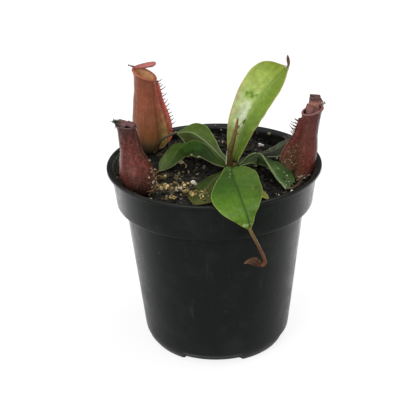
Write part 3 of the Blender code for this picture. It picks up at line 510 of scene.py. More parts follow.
# Lids, as leaves, from the hinge to the free end. "wrinkle" scales their crumpling.
LIDS = {
    "lid_tall": {
        "slot": "lid_pink", "up": (0, -0.1, 0.99), "curl": -6,
        "stations": (
            (-39.8, 28, 138.2, 0.9, 0.9, 0, 0), (-37.4, 27.4, 139, 2.6, 2.6, -2, -2),
            (-34.2, 26.6, 139.9, 3.5, 3.5, -2, -2), (-31.2, 25.8, 140.5, 3.3, 3.3, -2, -2),
            (-29.2, 25.2, 140.8, 2.4, 2.4, -2, -2), (-28.3, 25, 140.7, 0.8, 0.8, 0, 0),
        ),
        "colours": (
            (0, (140, 78, 66), (140, 78, 66)), (0.4, (178, 104, 98), (184, 112, 104)),
            (1, (184, 112, 104), (178, 106, 98)),
        ),
        "rib": (150, 84, 76), "edge": (142, 72, 64), "wrinkle": 0.15,
    },
    "lid_left": {
        "slot": "lid_withered", "up": (0.1, 0, 1), "curl": -10,
        "stations": (
            (-47.2, -13.6, 124, 1, 1, 0, 0), (-45.2, -13, 124, 3.4, 3.4, -4, -4),
            (-42.4, -12, 123.7, 4.4, 4.4, -6, -6), (-39.6, -11.2, 123, 3.6, 3.6, -6, -6),
            (-37.2, -10.4, 122.3, 0.8, 0.8, 0, 0),
        ),
        "colours": (
            (0, (84, 62, 58), (84, 62, 58)), (0.4, (120, 82, 82), (112, 76, 77)),
            (1, (106, 70, 70), (100, 66, 67)),
        ),
        "rib": (96, 68, 68), "edge": (86, 62, 62), "wrinkle": 0.8,
    },
    "lid_right": {
        "slot": "lid_withered", "up": (-0.1, -0.95, 0.3), "curl": -12,
        "stations": (
            (47.6, -5, 122.6, 2.6, 2.6, -24, -24), (49.2, -2.4, 124.2, 4, 3.8, -14, -14),
            (50.6, 0.2, 125.8, 4.2, 4, -10, -10), (50.5, 0.8, 127.2, 3.4, 3.4, -10, -10),
            (50.2, 0.3, 129.2, 2.7, 2.7, -4, -4), (50.1, -0.5, 129.9, 2.8, 2.8, 0, 0),
            (50.1, -1.3, 129.3, 2.8, 2.8, 0, 0),
        ),
        "colours": (
            (0, (96, 58, 54), (96, 58, 54)), (0.25, (140, 90, 80), (112, 70, 64)),
            (0.4, (188, 134, 118), (176, 122, 110)), (0.68, (170, 118, 106), (160, 110, 100)),
            (0.78, (92, 66, 62), (88, 62, 60)), (1, (76, 58, 56), (76, 58, 56)),
        ),
        "rib": (132, 88, 80), "edge": (96, 62, 60), "wrinkle": 0.42,
    },
}

# Round parts: route of (x, y, z, radius), the colours of its start, middle and end, and
# the depth of its lengthwise ridges as a share of the radius
TUBES = {
    "new_leaf_spike": {
        "slot": "leaf_rolled",
        "route": (
            (8, -0.4, 94.6, 1.4), (7.9, -1, 101, 1.45), (8.9, -1.4, 106, 1.3),
            (10.5, -1.2, 112, 0.95), (11.7, -1, 117, 0.65), (12.2, -1, 120, 0.35),
        ),
        "colours": ((72, 54, 30), (104, 94, 48), (160, 108, 64)), "ridge": 0.12,
    },
    "tip_bud": {
        "slot": "tendril_brown",
        "route": (
            (37.6, 15.8, 139.6, 0.5), (38.2, 16.1, 141.4, 0.6), (38.1, 16, 143.2, 0.8),
            (37.9, 15.9, 145, 0.7), (37.7, 15.8, 146.6, 0.2),
        ),
        "colours": ((130, 112, 62), (122, 84, 58), (98, 62, 48)), "ridge": 0.08,
    },
    "tendril_front": {
        "slot": "tendril_brown",
        "route": (
            (15.3, -61.9, 89.6, 0.7), (15.8, -62.3, 88, 0.8), (17.2, -62.3, 84.8, 0.8),
            (19.2, -61.6, 80.2, 0.75), (21.2, -60.4, 75, 0.8), (22.4, -59.3, 71, 0.85),
            (21.9, -59, 69, 0.95), (20.4, -59, 68.9, 1.05),
        ),
        "colours": ((124, 112, 60), (116, 78, 52), (122, 76, 48)), "ridge": 0.08,
    },
    "tendril_tall": {
        "slot": "tendril_brown",
        "route": (
            (-19.2, 28.8, 101.6, 0.6), (-21, 23.6, 103, 0.6), (-23, 18.8, 104, 0.55),
            (-25.2, 17, 103.6, 0.55), (-27.2, 17.2, 101.6, 0.55), (-28.4, 18.2, 98.6, 0.6),
            (-29.2, 19.6, 95.8, 0.6), (-30.6, 21.6, 93.4, 0.7),
        ),
        "colours": ((120, 116, 80), (66, 50, 36), (72, 56, 38)), "ridge": 0.06,
    },
    "tendril_left": {
        "slot": "tendril_brown",
        "route": (
            (-28, 6, 89.8, 0.55), (-29.8, 2, 89.8, 0.6), (-29.8, -1.6, 90, 0.6),
            (-30.8, -5, 90.2, 0.65),
        ),
        "colours": ((104, 92, 60), (92, 64, 48), (84, 52, 44)), "ridge": 0.06,
    },
    "tendril_right": {
        "slot": "tendril_brown",
        "route": (
            (35, -18.2, 89.2, 0.6), (38.4, -17.6, 89.2, 0.6), (41, -14.2, 89.2, 0.6),
            (42.8, -10.4, 89.2, 0.6), (43.4, -6.6, 89.4, 0.6),
        ),
        "colours": ((80, 84, 54), (92, 68, 50), (84, 54, 44)), "ridge": 0.06,
    },
    "pitcher_dried": {
        "slot": "pitcher_dried",
        "route": (
            (20.6, -59.1, 69, 0.9), (19.6, -59.2, 69.6, 1.4), (18.6, -59.2, 70.1, 1.7),
            (16.8, -59.2, 70.8, 1.7), (15.2, -59.2, 70.9, 1.1), (13.9, -59.2, 70.4, 0.6),
            (12.6, -59.2, 69.6, 0.15),
        ),
        "colours": ((92, 60, 38), (74, 46, 28), (124, 92, 68)), "ridge": 0.22,
    },
}

# Loose grains lying on the mix: (kind, x, y, long, wide, thick, turn in degrees)
GRAINS = (
    ("vermiculite", -26, -2.6, 4.6, 3.4, 2.4, 20), ("vermiculite", -24.2, -13, 5.2, 3.8, 2.2, -35),
    ("vermiculite", -19.4, -12, 4.6, 3.4, 2.2, 50), ("vermiculite", -14.8, -13.4, 4.4, 2.8, 2, 10),
    ("vermiculite", -17, -18.6, 3.6, 2.8, 2, 70), ("vermiculite", -21.4, -27.6, 4.4, 3.2, 2.4, -10),
    ("bark", -18, -3, 5, 3.2, 1.8, 15), ("perlite", -10.6, -11, 2.6, 2.2, 1.8, 0),
    ("perlite", -31.8, -28, 2.6, 2.2, 1.8, 40), ("perlite", 25.4, 36, 3.4, 2.6, 2.2, 25),
    ("perlite", 30, 31, 2.6, 2, 1.8, -20), ("perlite", 38, -22, 2.6, 2, 1.8, 60),
)

# Chips scattered over the mix. "wide" and "thick" are shares of the length, "lift" is a
# share of the thickness, "seed" is that of the first lump's shape and "cuts" the number
# of its flat facets. A pair of numbers is a span to draw from.
CHIPS = {
    "grit": {
        "count": 420, "reach": 49.0, "detail": 1, "long": (0.35, 1.0), "wide": (0.6, 1.0),
        "thick": 0.6, "lift": 0.3,
        "tones": (FIBRE, BARK_BROWN, BARK_BROWN, (120, 116, 100), CREAM, GOLD),
        "shades": (0.3, 1.0), "tilt": 1.0, "roughness": 0.3, "seed": 3000, "cuts": 3,
    },
    "perlite": {
        "count": 70, "reach": 48.0, "detail": 2, "long": (0.4, 1.5), "wide": 0.85,
        "thick": 0.7, "lift": 0.3, "tones": (CHALK, CREAM, (190, 184, 166)),
        "shades": (0.5, 1.0), "tilt": 1.0, "roughness": 0.4, "seed": 8000, "cuts": 3,
    },
    "bark": {
        "count": 60, "reach": 48.0, "detail": 2, "long": (1.4, 3.8), "wide": (0.3, 0.6),
        "thick": 0.25, "lift": 0.5, "tones": (BARK_BROWN,),
        "shades": (0.15, 0.9), "tilt": 0.3, "roughness": 0.3, "seed": 9000, "cuts": 4,
    },
}

# Piles of small golden chips: (x, y, rise above the mix, spread, count, longest chip)
PILES = (
    (-24.5, -11.5, 0.4, 2.6, 40, 3.6), (-17.5, -14.5, 0.4, 2.6, 40, 3.6),
    (-13, -17.5, 0.2, 2.2, 16, 3.6), (-31, -12.5, 0.6, 2, 34, 2.6), (-6, -26.6, 2.5, 2, 24, 2.2),
    (36.5, -13.5, 1.4, 2, 26, 1.4), (42.5, -10, 0.6, 1.6, 24, 1.6),
    (-23.4, -26.3, 0.2, 1.6, 10, 3.4), (-10.6, -23.4, 2.4, 1.4, 18, 2.4),
)

# Single pale bits: (x, y, height or 0 to lie on the mix, size, colour)
PALE_BITS = (
    (-26.5, -0.7, 0, 2.2, CHALK), (-16.6, 15.3, 0, 4.2, CREAM), (-14.6, 13, 0, 2.6, GOLD),
    (-33.1, 18, 0, 2.6, CREAM), (-17.6, 2, 0, 2.6, (112, 108, 78)),
    (-15.8, 2.8, 0, 2.8, (104, 98, 68)), (-13, 3.4, 0, 2.8, (136, 126, 92)),
    (-5.1, 9.7, 0, 3, (120, 118, 100)), (-30.9, 6.4, 0, 3.2, CREAM),
    (5.2, 38.7, 0, 1.8, (190, 186, 160)), (-1.3, -9.9, 0, 1.8, (170, 164, 130)),
    (29.7, 40.5, 95.2, 2.6, (150, 142, 104)), (6, 49.8, 90.8, 2.2, (150, 144, 116)),
    (1.4, 50.2, 96.6, 1.6, (130, 124, 96)), (4.6, 50.1, 94.2, 1.4, (150, 144, 116)),
    (-12, 48.8, 93, 1.6, (116, 104, 76)), (14, 48.2, 92.4, 1.8, (104, 96, 70)),
    (36.1, -8.3, 91.8, 1, CHALK), (36.4, -10.4, 91.2, 0.7, CREAM),
    (36.8, -12.8, 90.7, 1.1, (214, 214, 196)), (35.6, -13.2, 90.9, 0.7, CHALK),
    (35.1, -16.4, 90.2, 0.9, CREAM), (34.4, -6, 92.9, 0.6, (200, 204, 180)),
)

# Grit on the pitchers: (pitcher, count, angles off the front, shares of the height,
# longest chip)
GRIT = (
    ("pitcher_left", 150, -66, -4, 0.03, 0.44, 1.7), ("pitcher_left", 40, -120, 20, 0.03, 0.8, 0.5),
    ("pitcher_right", 70, 20, 120, 0.02, 0.26, 1.5),
)

# Spurs behind the lids and a nib on the new leaf: (name, slot, start, end, radius,
# hairs, hair length, colour, hair colour)
SPURS = (
    (
        "spur_tall", "lid_pink", (-39.4, 28.5, 137.9), (-42.5, 28.9, 139.2), 0.45, 9, 1.2,
        (104, 66, 56), (88, 66, 58),
    ),
    (
        "spur_left", "lid_withered", (-45.2, -13.4, 122.6), (-47.9, -13.8, 124.8), 1.3, 44, 2.6,
        (36, 46, 30), (84, 90, 68),
    ),
    (
        "spur_right", "lid_withered", (53, -0.8, 126), (54.9, -1.2, 127.2), 0.5, 32, 1.4,
        (126, 88, 78), (214, 206, 196),
    ),
    (
        "spike_nib", "leaf_rolled", (10.6, -1.5, 111.7), (12.5, -1.5, 112.3), 0.42, 0, 0,
        (110, 78, 50), (110, 78, 50),
    ),
    (
        "leaf_sheath", "leaf_rolled", (6, -2.2, 95.6), (6.6, -2.4, 103.6), 0.4, 0, 0,
        (176, 176, 140), (176, 176, 140),
    ),
)


# Geometry helpers


def linear(colour):
    """Linear RGB, 0 to 1, of an sRGB colour out of 255."""
    share = np.asarray(colour, float) / 255.0
    return np.where(share < 0.04045, share / 12.92, ((share + 0.055) / 1.055) ** 2.4)


def spline(rows, at):
    """Catmull-Rom interpolation of the rows, at places from 0 to len(rows) - 1."""
    rows = np.asarray(rows, float)
    at = np.asarray(at, float)
    last = len(rows) - 1
    first = np.clip(at.astype(int), 0, last - 1)
    step = (at - first)[..., None]
    start = rows[first]
    end = rows[first + 1]
    before = np.where((first > 0)[..., None], rows[np.maximum(first - 1, 0)], 2.0 * start - end)
    inside = (first + 2 <= last)[..., None]
    after = np.where(inside, rows[np.minimum(first + 2, last)], 2.0 * end - start)
    bend = 2.0 * before - 5.0 * start + 4.0 * end - after
    twist = 3.0 * start - before - 3.0 * end + after
    return start + 0.5 * step * (end - before) + 0.5 * step**2 * bend + 0.5 * step**3 * twist


def graded(at, places, tones):
    """Linear colours at places along a part, between the sRGB tones of its table."""
    table = linear(tones)
    return np.stack([np.interp(at, places, table[:, k]) for k in range(3)], axis=-1)


def unit(vectors):
    """Vectors of length 1 in the same directions."""
    length = np.linalg.norm(vectors, axis=-1, keepdims=True)
    return vectors / np.maximum(length, 1e-9)


def noise_at(points, size, seed=0, octaves=1):
    """Smooth noise from about -1 to 1 at each point, with features of that size."""
    shape = points.shape[:-1]
    shift = Vector((seed * 17.3, seed * 5.1, seed * 9.7))
    total = np.zeros(int(np.prod(shape)))
    for octave in range(octaves):
        scale = 2.0**octave / size
        values = [noise.noise(Vector(p) * scale + shift) for p in points.reshape(-1, 3)]
        total += np.array(values) * 0.5**octave
    return total.reshape(shape)


def waves(points, waving, seed):
    """Rise of each point by waves given as (rise, size)."""
    rise, size = waving
    return rise * noise_at(points, size, seed)


def circle(count):
    """Angles of evenly spaced points around a circle."""
    return 2.0 * np.pi * np.arange(count) / count


def grid_faces(rows, columns, wrap=False):
    """Quads of a grid of points, rows by columns, closed around each row if wrap."""
    faces = []
    across = columns if wrap else columns - 1
    for i in range(rows - 1):
        for j in range(across):
            k = (j + 1) % columns
            a = i * columns
            b = a + columns
            faces.append((a + j, a + k, b + k, b + j))
    return faces


def capped_faces(rows, around, flip=False):
    """Quads of a closed tube of points with a cap at each end, turned over if flip."""
    faces = grid_faces(rows, around, wrap=True)
    faces.append(tuple(range(around))[::-1])
    faces.append(tuple(range((rows - 1) * around, rows * around)))
    return [face[::-1] for face in faces] if flip else faces


class Heap:
    """Gathers many small shapes, with a colour for each, into one mesh."""

    def __init__(self):
        self.verts = []
        self.faces = []
        self.tints = []

    def add(self, verts, faces, tint):
        start = len(self.verts)
        self.verts.extend(map(tuple, verts))
        self.faces.extend(tuple(start + i for i in face) for face in faces)
        self.tints.extend([tuple(tint)] * len(verts))

    def build(self, name, material, smooth=True):
        layers = {"tint": self.tints}
        return make_piece(name, self.verts, self.faces, material, layers, smooth)


def add_object(name, data):
    """A new object of the scene, with this mesh, light or camera."""
    item = bpy.data.objects.new(name, data)
    bpy.context.scene.collection.objects.link(item)
    return item


def make_piece(name, verts, faces, material, layers=None, smooth=True):
    """A mesh object from points in millimetres. Layers are colours or vectors."""
    mesh = bpy.data.meshes.new(name)
    mesh.from_pydata((np.asarray(verts, float).reshape(-1, 3) * MM).tolist(), [], faces)
    for key, values in (layers or {}).items():
        values = np.asarray(values, np.float32).reshape(-1, 3)
        if key == "tint":
            layer = mesh.attributes.new(key, "FLOAT_COLOR", "POINT")
            full = np.hstack([values, np.ones((len(values), 1), np.float32)])
            layer.data.foreach_set("color", full.ravel())
        else:
            layer = mesh.attributes.new(key, "FLOAT_VECTOR", "POINT")
            layer.data.foreach_set("vector", values.ravel())
    if smooth:
        mesh.shade_smooth()
    mesh.materials.append(material)
    return add_object(name, mesh)


def place(piece, slot, *nodes):
    """The piece belongs to the only body, and stands for the nodes, if any."""
    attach(piece, "root")
    if nodes:
        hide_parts(*nodes)


def add_shell(piece, thickness):
    """Thickens a surface on the side that its normals point away from."""
    shell = piece.modifiers.new("Thickness", "SOLIDIFY")
    shell.thickness = thickness * MM
    shell.offset = -1.0


# Materials


class Recipe:
    """A material's node tree, with a short method for each kind of node used here."""

    def __init__(self, name):
        self.material = bpy.data.materials.new(name)
        self.material.use_nodes = True
        self.tree = self.material.node_tree
        self.shader = self.tree.nodes["Principled BSDF"]
        self.place = self.add("ShaderNodeTexCoord").outputs["Object"]

    def add(self, kind, **settings):
        node = self.tree.nodes.new(kind)
        for key, value in settings.items():
            setattr(node, key, value)
        return node

    def feed(self, socket, value):
        """Links a socket to another node's output, or sets it to a value."""
        if isinstance(value, bpy.types.NodeSocket):
            self.tree.links.new(value, socket)
        elif isinstance(value, tuple) and socket.type == "RGBA":
            socket.default_value = (*value, 1.0)
        else:
            socket.default_value = value

    def set(self, **values):
        """Sets the shader's own sockets, named with _ for a space."""
        for key, value in values.items():
            self.feed(self.shader.inputs[key.replace("_", " ")], value)

    def layer(self, key, output="Color"):
        return self.add("ShaderNodeAttribute", attribute_name=key).outputs[output]

    def split(self, vector):
        node = self.add("ShaderNodeSeparateXYZ")
        self.feed(node.inputs[0], vector)
        return node.outputs

    def noise(self, size, detail=3.0, roughness=0.55, distortion=0.0, stretch=None):
        """Noise from 0 to 1 with features of a size in millimetres."""
        node = self.add("ShaderNodeTexNoise")
        self.feed(node.inputs["Vector"], self.stretched(stretch) if stretch else self.place)
        self.feed(node.inputs["Scale"], 1.0 / (size * MM))
        for key, value in zip(("Detail", "Roughness", "Distortion"), (detail, roughness, distortion)):
            self.feed(node.inputs[key], value)
        return node.outputs["Fac"]

    def cells(self, size, output="Distance"):
        node = self.add("ShaderNodeTexVoronoi")
        self.feed(node.inputs["Vector"], self.place)
        self.feed(node.inputs["Scale"], 1.0 / (size * MM))
        return node.outputs[output]

    def stretched(self, scale):
        node = self.add("ShaderNodeMapping")
        self.feed(node.inputs["Vector"], self.place)
        node.inputs["Scale"].default_value = scale
        return node.outputs["Vector"]

    def math(self, operation, a, b=0.0):
        node = self.add("ShaderNodeMath", operation=operation)
        self.feed(node.inputs[0], a)
        self.feed(node.inputs[1], b)
        return node.outputs[0]

    def times(self, a, b):
        return self.math("MULTIPLY", a, b)

    def remap(self, value, low, high, to_low=0.0, to_high=1.0):
        """Smoothly maps low..high to to_low..to_high."""
        node = self.add("ShaderNodeMapRange", interpolation_type="SMOOTHSTEP")
        for socket, number in zip(node.inputs, (value, low, high, to_low, to_high)):
            self.feed(socket, number)
        return node.outputs[0]

    def mix(self, factor, a, b):
        node = self.add("ShaderNodeMix", data_type="RGBA")
        self.feed(node.inputs["Factor"], factor)
        self.feed(node.inputs[6], a)
        self.feed(node.inputs[7], b)
        return node.outputs[2]

    def set_roughness(self, grain, low, high):
        """Roughness that the grain, a noise, spreads from low to high."""
        self.set(Roughness=self.remap(grain, 0.3, 0.7, low, high))

    def bump(self, height, depth, under=None):
        """A bump whose height of 0 to 1 stands for a depth in millimetres."""
        node = self.add("ShaderNodeBump")
        self.feed(node.inputs["Distance"], depth * MM)
        self.feed(node.inputs["Height"], height)
        if under:
            self.feed(node.inputs["Normal"], under)
        return node.outputs["Normal"]

    def varied(self, colour, amount, size, detail=4.0):
        """The colour made darker and lighter by noise, by up to the amount each way."""
        value = self.remap(self.noise(size, detail), 0.25, 0.75, 1.0 - amount, 1.0 + amount)
        scale = self.add("ShaderNodeVectorMath", operation="SCALE")
        self.feed(scale.inputs[0], colour)
        self.feed(scale.inputs["Scale"], value)
        return scale.outputs[0]


def colour(values):
    """An sRGB colour out of 255 as the linear tuple that a socket takes."""
    return tuple(float(v) for v in linear(values))


def pot_material():
    """Black injection-moulded plastic, a little dusty, scuffed and splashed with mix; painted shade
    darkens the inside of its back wall.
    """
    m = Recipe("pot_plastic")
    m.set(Specular_IOR_Level=0.30, IOR=1.46)
    film = m.remap(m.noise(14.0, 5.0, 0.6), 0.45, 0.75)
    scuffs = m.remap(m.noise(2.2, 3.0, 0.6, 0.4, stretch=(1.0, 1.0, 0.12)), 0.62, 0.78)
    base = m.mix(film, colour(PLASTIC), colour(PLASTIC_FILM))
    base = m.mix(m.times(scuffs, 0.16), base, colour(SCUFF))
    specks = m.remap(m.cells(6.5), 0.025, 0.045, 1.0, 0.0)
    thinned = m.times(specks, m.remap(m.noise(17.0, 1.0), 0.55, 0.62))
    base = m.mix(m.times(thinned, 0.7), base, colour(SPLASH))
    x, y, z = m.split(m.place)
    radius = m.math("SQRT", m.math("ADD", m.times(x, x), m.times(y, y)))
    slant = (COLLAR_TOP_RADIUS - COLLAR_FOOT_RADIUS) / (POT_HEIGHT - LIP_HEIGHT - LEDGE_Z)
    rise = m.times(m.math("SUBTRACT", z, LEDGE_Z * MM), slant)
    depth = m.math("SUBTRACT", m.math("ADD", rise, COLLAR_FOOT_RADIUS * MM), radius)
    above = m.remap(z, (LEDGE_Z + 1.0) * MM, (LEDGE_Z + 2.0) * MM)
    inside = m.times(m.remap(depth, 0.3 * MM, 0.7 * MM), above)
    dust = m.times(inside, m.remap(m.noise(5.0, 6.0, 0.7), 0.35, 0.7, 0.15, 0.8))
    # Painted shade: towards the back, the inside of the wall is darkened and its dust thinned.
    back_wall_shade = m.remap(y, 10.0 * MM, 34.0 * MM)
    dust = m.times(dust, m.remap(back_wall_shade, 0.0, 1.0, 1.0, 0.05))
    base = m.mix(m.times(inside, back_wall_shade), base, colour(SHADED_WALL))
    base = m.mix(dust, base, colour(WALL_DUST))
    m.set(Base_Color=base)
    m.set_roughness(m.noise(7.0, 5.0, 0.65), 0.24, 0.38)
    grain = m.bump(m.noise(0.35, 2.0), 0.012)
    m.set(Normal=m.bump(m.noise(9.0, 2.0), 0.1, grain))
    return m.material


def soil_material():
    """Damp peat: nearly black, with brown crumbs and a little shine of water."""
    m = Recipe("potting_mix")
    m.set(Specular_IOR_Level=0.35)
    tint = m.layer("tint")
    shade = m.varied(tint, 0.45, 0.9)
    grit = m.remap(m.cells(0.55, "Color"), 0.82, 0.95)
    m.set(Base_Color=m.mix(m.times(grit, 0.12), shade, colour(FIBRE)))
    m.set(Roughness=m.remap(m.noise(1.6, 3.0), 0.35, 0.7, 0.5, 0.9))
    fine = m.bump(m.noise(0.5, 4.0, 0.7), 0.35)
    m.set(Normal=m.bump(m.noise(1.8, 3.0, 0.6), 0.5, fine))
    return m.material


def grain_material(name, roughness, pit_size, pit_depth, variation, sheen=0.0):
    """Loose mineral or bark grains, coloured by their layer and pitted."""
    m = Recipe(name)
    m.set(Specular_IOR_Level=0.4, Sheen_Weight=sheen)
    m.set(Base_Color=m.varied(m.layer("tint"), variation, 0.5))
    m.set_roughness(m.noise(0.8, 2.0), roughness - 0.12, roughness + 0.1)
    pits = m.bump(m.cells(pit_size), pit_depth)
    m.set(Normal=m.bump(m.noise(0.25, 3.0), pit_depth * 0.5, pits))
    return m.material


def leaf_material(name, rib, edge, gloss, shine):
    """A leathery blade. Its layer "blade" holds the way along it, the way across it and
    the way in from its margin, in millimetres."""
    m = Recipe(name)
    m.set(Specular_IOR_Level=shine, Coat_Weight=0.05, Coat_Roughness=0.25)
    m.set(Subsurface_Weight=0.08, Subsurface_Radius=(0.6, 1.0, 0.25), Subsurface_Scale=0.0012)
    along, across, inward = m.split(m.layer("blade", "Vector"))
    off = m.math("ABSOLUTE", across)
    waver = m.times(m.noise(3.0, 2.0), 0.9)
    lengthwise = m.math("PINGPONG", m.math("ADD", off, waver), 1.15)
    slant = m.math("ADD", m.math("SUBTRACT", along, m.times(off, 0.6)), waver)
    pinnate = m.math("PINGPONG", slant, 0.75)
    strong = m.remap(lengthwise, 0.0, 0.22, 1.0, 0.0)
    weak = m.remap(pinnate, 0.0, 0.14, 0.5, 0.0)
    veins = m.math("MAXIMUM", strong, weak)
    tint = m.varied(m.layer("tint"), 0.13, 8.0, 2.0)
    tint = m.varied(tint, 0.14, 2.6)
    tint = m.varied(tint, 0.10, 0.35, 1.0)
    light = m.mix(m.times(veins, 0.16), tint, colour(rib))
    rib_mask = m.remap(off, 0.28, 0.62, 0.8, 0.0)
    light = m.mix(rib_mask, light, colour(rib))
    margin = m.remap(inward, 0.18, 0.45, 0.85, 0.0)
    light = m.mix(margin, light, colour(edge))
    flecks = m.times(m.remap(m.cells(1.7), 0.05, 0.10, 1.0, 0.0), 0.25)
    m.set(Base_Color=m.mix(flecks, light, colour(LEAF_FLECK)))
    m.set_roughness(m.noise(1.4, 4.0, 0.6), gloss - 0.06, gloss + 0.12)
    cells = m.bump(m.cells(0.28), 0.02)
    quilt = m.bump(m.noise(1.3, 2.0), 0.08, cells)
    m.set(Normal=m.bump(m.math("SUBTRACT", 1.0, veins), 0.05, quilt))
    return m.material


def pitcher_material(name, speckle, blotch, mottle, gloss, flecks):
    """The waxy, slightly hairy skin of a pitcher, mottled with blotches."""
    m = Recipe(name)
    m.set(Specular_IOR_Level=0.32)
    m.set(Subsurface_Weight=0.1, Subsurface_Radius=(1.0, 0.35, 0.2), Subsurface_Scale=0.0012)
    tint = m.varied(m.layer("tint"), 0.14, 3.2)
    tint = m.varied(tint, mottle, 1.1, 4.0)
    streaks = m.noise(2.2, 3.0, 0.6, 0.4, stretch=(1.0, 1.0, 0.18))
    tint = m.mix(m.remap(streaks, 0.45, 0.75, 0.0, speckle), tint, colour(DARK_STREAK))
    patches = m.remap(m.noise(4.2, 5.0, 0.62, 0.6), 0.5, 0.68)
    tint = m.mix(m.times(patches, speckle), tint, colour(blotch))
    dots = m.remap(m.cells(1.25), 0.06, 0.16, 1.0, 0.0)
    m.set(Base_Color=m.mix(m.times(dots, flecks), tint, colour(PALE_DOT)))
    m.set_roughness(m.noise(1.8, 4.0), gloss - 0.08, gloss + 0.14)
    fuzz = m.bump(m.noise(0.22, 3.0, 0.7), 0.05)
    threads = m.noise(1.0, 3.0, 0.6, 0.3, stretch=(1.0, 1.0, 0.22))
    m.set(Normal=m.bump(threads, 0.22, fuzz))
    return m.material


def skin_material(name, roughness=0.5, variation=0.22):
    """Stems, tendrils, rims and lids: fibrous along their length."""
    m = Recipe(name)
    m.set(Specular_IOR_Level=0.3)
    tint = m.varied(m.layer("tint"), variation, 1.2)
    m.set(Base_Color=m.varied(tint, 0.12, 0.3, 1.0))
    m.set_roughness(m.noise(1.0, 3.0), roughness - 0.1, roughness + 0.12)
    fine = m.bump(m.noise(0.2, 2.0), 0.04)
    m.set(Normal=m.bump(m.noise(0.9, 3.0, 0.6), 0.16, fine))
    return m.material


# Pot


def collar_radius(z):
    """Outer radius of the collar at height z."""
    share = (z - LEDGE_Z) / (POT_HEIGHT - LIP_HEIGHT - LEDGE_Z)
    return COLLAR_FOOT_RADIUS + share * (COLLAR_TOP_RADIUS - COLLAR_FOOT_RADIUS)


def body_radius(z):
    """Outer radius of the pot's body below the collar at height z."""
    share = (z - BODY_FOOT_Z) / (LEDGE_Z - BODY_FOOT_Z)
    return BODY_FOOT_RADIUS + share * (BODY_TOP_RADIUS - BODY_FOOT_RADIUS)


def rounded(corners):
    """A path through (radius, z, rounding) corners, each turned into a short curve."""
    path = []
    count = len(corners)
    for i, (radius, z, rounding) in enumerate(corners):
        corner = Vector((radius, z))
        if not rounding or i in (0, count - 1):
            path.append(corner)
            continue
        before = Vector(corners[i - 1][:2]) - corner
        after = Vector(corners[i + 1][:2]) - corner
        start = corner + before.normalized() * min(rounding, before.length * 0.45)
        end = corner + after.normalized() * min(rounding, after.length * 0.45)
        for step in range(CORNER_STEPS + 1):
            t = step / CORNER_STEPS
            path.append((1 - t) ** 2 * start + 2 * t * (1 - t) * corner + t**2 * end)
    return path


def subdivided(path, longest):
    """The path with more points on its long straight runs."""
    points = [path[0]]
    for first, second in zip(path, path[1:]):
        parts = max(1, math.ceil((second - first).length / longest))
        points.extend(first.lerp(second, (k + 1) / parts) for k in range(parts))
    return points


def pot_path():
    """Outside from the lip down to the axis, then inside from the axis up to the lip."""
    under_lip = POT_HEIGHT - LIP_HEIGHT
    mouth = LIP_RADIUS - LIP_WIDTH
    corners = [
        (mouth + 0.6, POT_HEIGHT, 0.0),
        (LIP_RADIUS, POT_HEIGHT, 0.6),
        (LIP_RADIUS, under_lip, 0.5),
        (COLLAR_TOP_RADIUS, under_lip, 0.5),
        (COLLAR_FOOT_RADIUS, LEDGE_Z, 1.0),
        (BODY_TOP_RADIUS, LEDGE_Z, 0.6),
        (BODY_FOOT_RADIUS, BODY_FOOT_Z, 2.2),
        *HEEL,
        (FOOT_RADIUS, 0.0, 0.4),
        (BAY_INNER_RADIUS, 0.0, 0.3),
        (0.0, 0.0, 0.0),
        (0.0, WALL, 0.0),
        (FOOT_RADIUS - 0.5, WALL, 0.8),
        (35.6, 4.2, 0.8),
        (BODY_FOOT_RADIUS - WALL, BODY_FOOT_Z + 0.4, 0.8),
        (body_radius(LEDGE_Z) - WALL, LEDGE_Z + 0.6, 0.8),
        (COLLAR_FOOT_RADIUS - WALL - 0.4, LEDGE_Z + WALL, 0.6),
        (collar_radius(under_lip) - WALL, under_lip, 0.6),
        (mouth, POT_HEIGHT - 0.2, 0.4),
        (mouth + 0.6, POT_HEIGHT, 0.0),
    ]
    return subdivided(rounded(corners), 2.4)


def bay_lift(radius, angle, z):
    """How far the pressed drain bays raise a point of the pot's base."""
    spacing = 2.0 * math.pi / BAY_COUNT
    turn = (angle - FIRST_BAY_ANGLE + spacing / 2.0) % spacing - spacing / 2.0
    soft_side = np.clip((BAY_HALF_ANGLE - abs(turn)) / math.radians(2.0), 0.0, 1.0)
    soft_inside = np.clip((radius - BAY_INNER_RADIUS) / 1.2, 0.0, 1.0)
    fade = np.clip((BODY_FOOT_Z - 0.5 - z) / 3.6, 0.0, 1.0)
    return BAY_HEIGHT * soft_side * soft_inside * fade


def make_pot():
    """The pot, turned from its path, with raised bays and drain holes in its base."""
    path = pot_path()
    angles = circle(POT_STEPS)
    rings = []
    for radius, z in path:
        radius = max(radius, 0.02)
        x = radius * np.cos(angles)
        y = radius * np.sin(angles)
        height = z + bay_lift(radius, angles, z)
        rings.append(np.stack([x, y, height], axis=1))
    points = np.array(rings)
    points = points + unit(points * FLAT) * waves(points, POT_SAG, 3)[..., None]
    faces = [face[::-1] for face in grid_faces(len(path), POT_STEPS, wrap=True)]
    pot = make_piece("nursery_pot", points, faces, pot_material())
    weld = pot.modifiers.new("Join", "WELD")
    weld.merge_threshold = WELD_REACH * MM
    for index in range(BAY_COUNT):
        angle = FIRST_BAY_ANGLE + index * 2.0 * math.pi / BAY_COUNT
        cut_drain_hole(pot, angle, index)
    place(pot, "pot_plastic", "pot")
    apply_modifiers(pot)
    pot.data.set_sharp_from_angle(angle=CREASE_ANGLE)


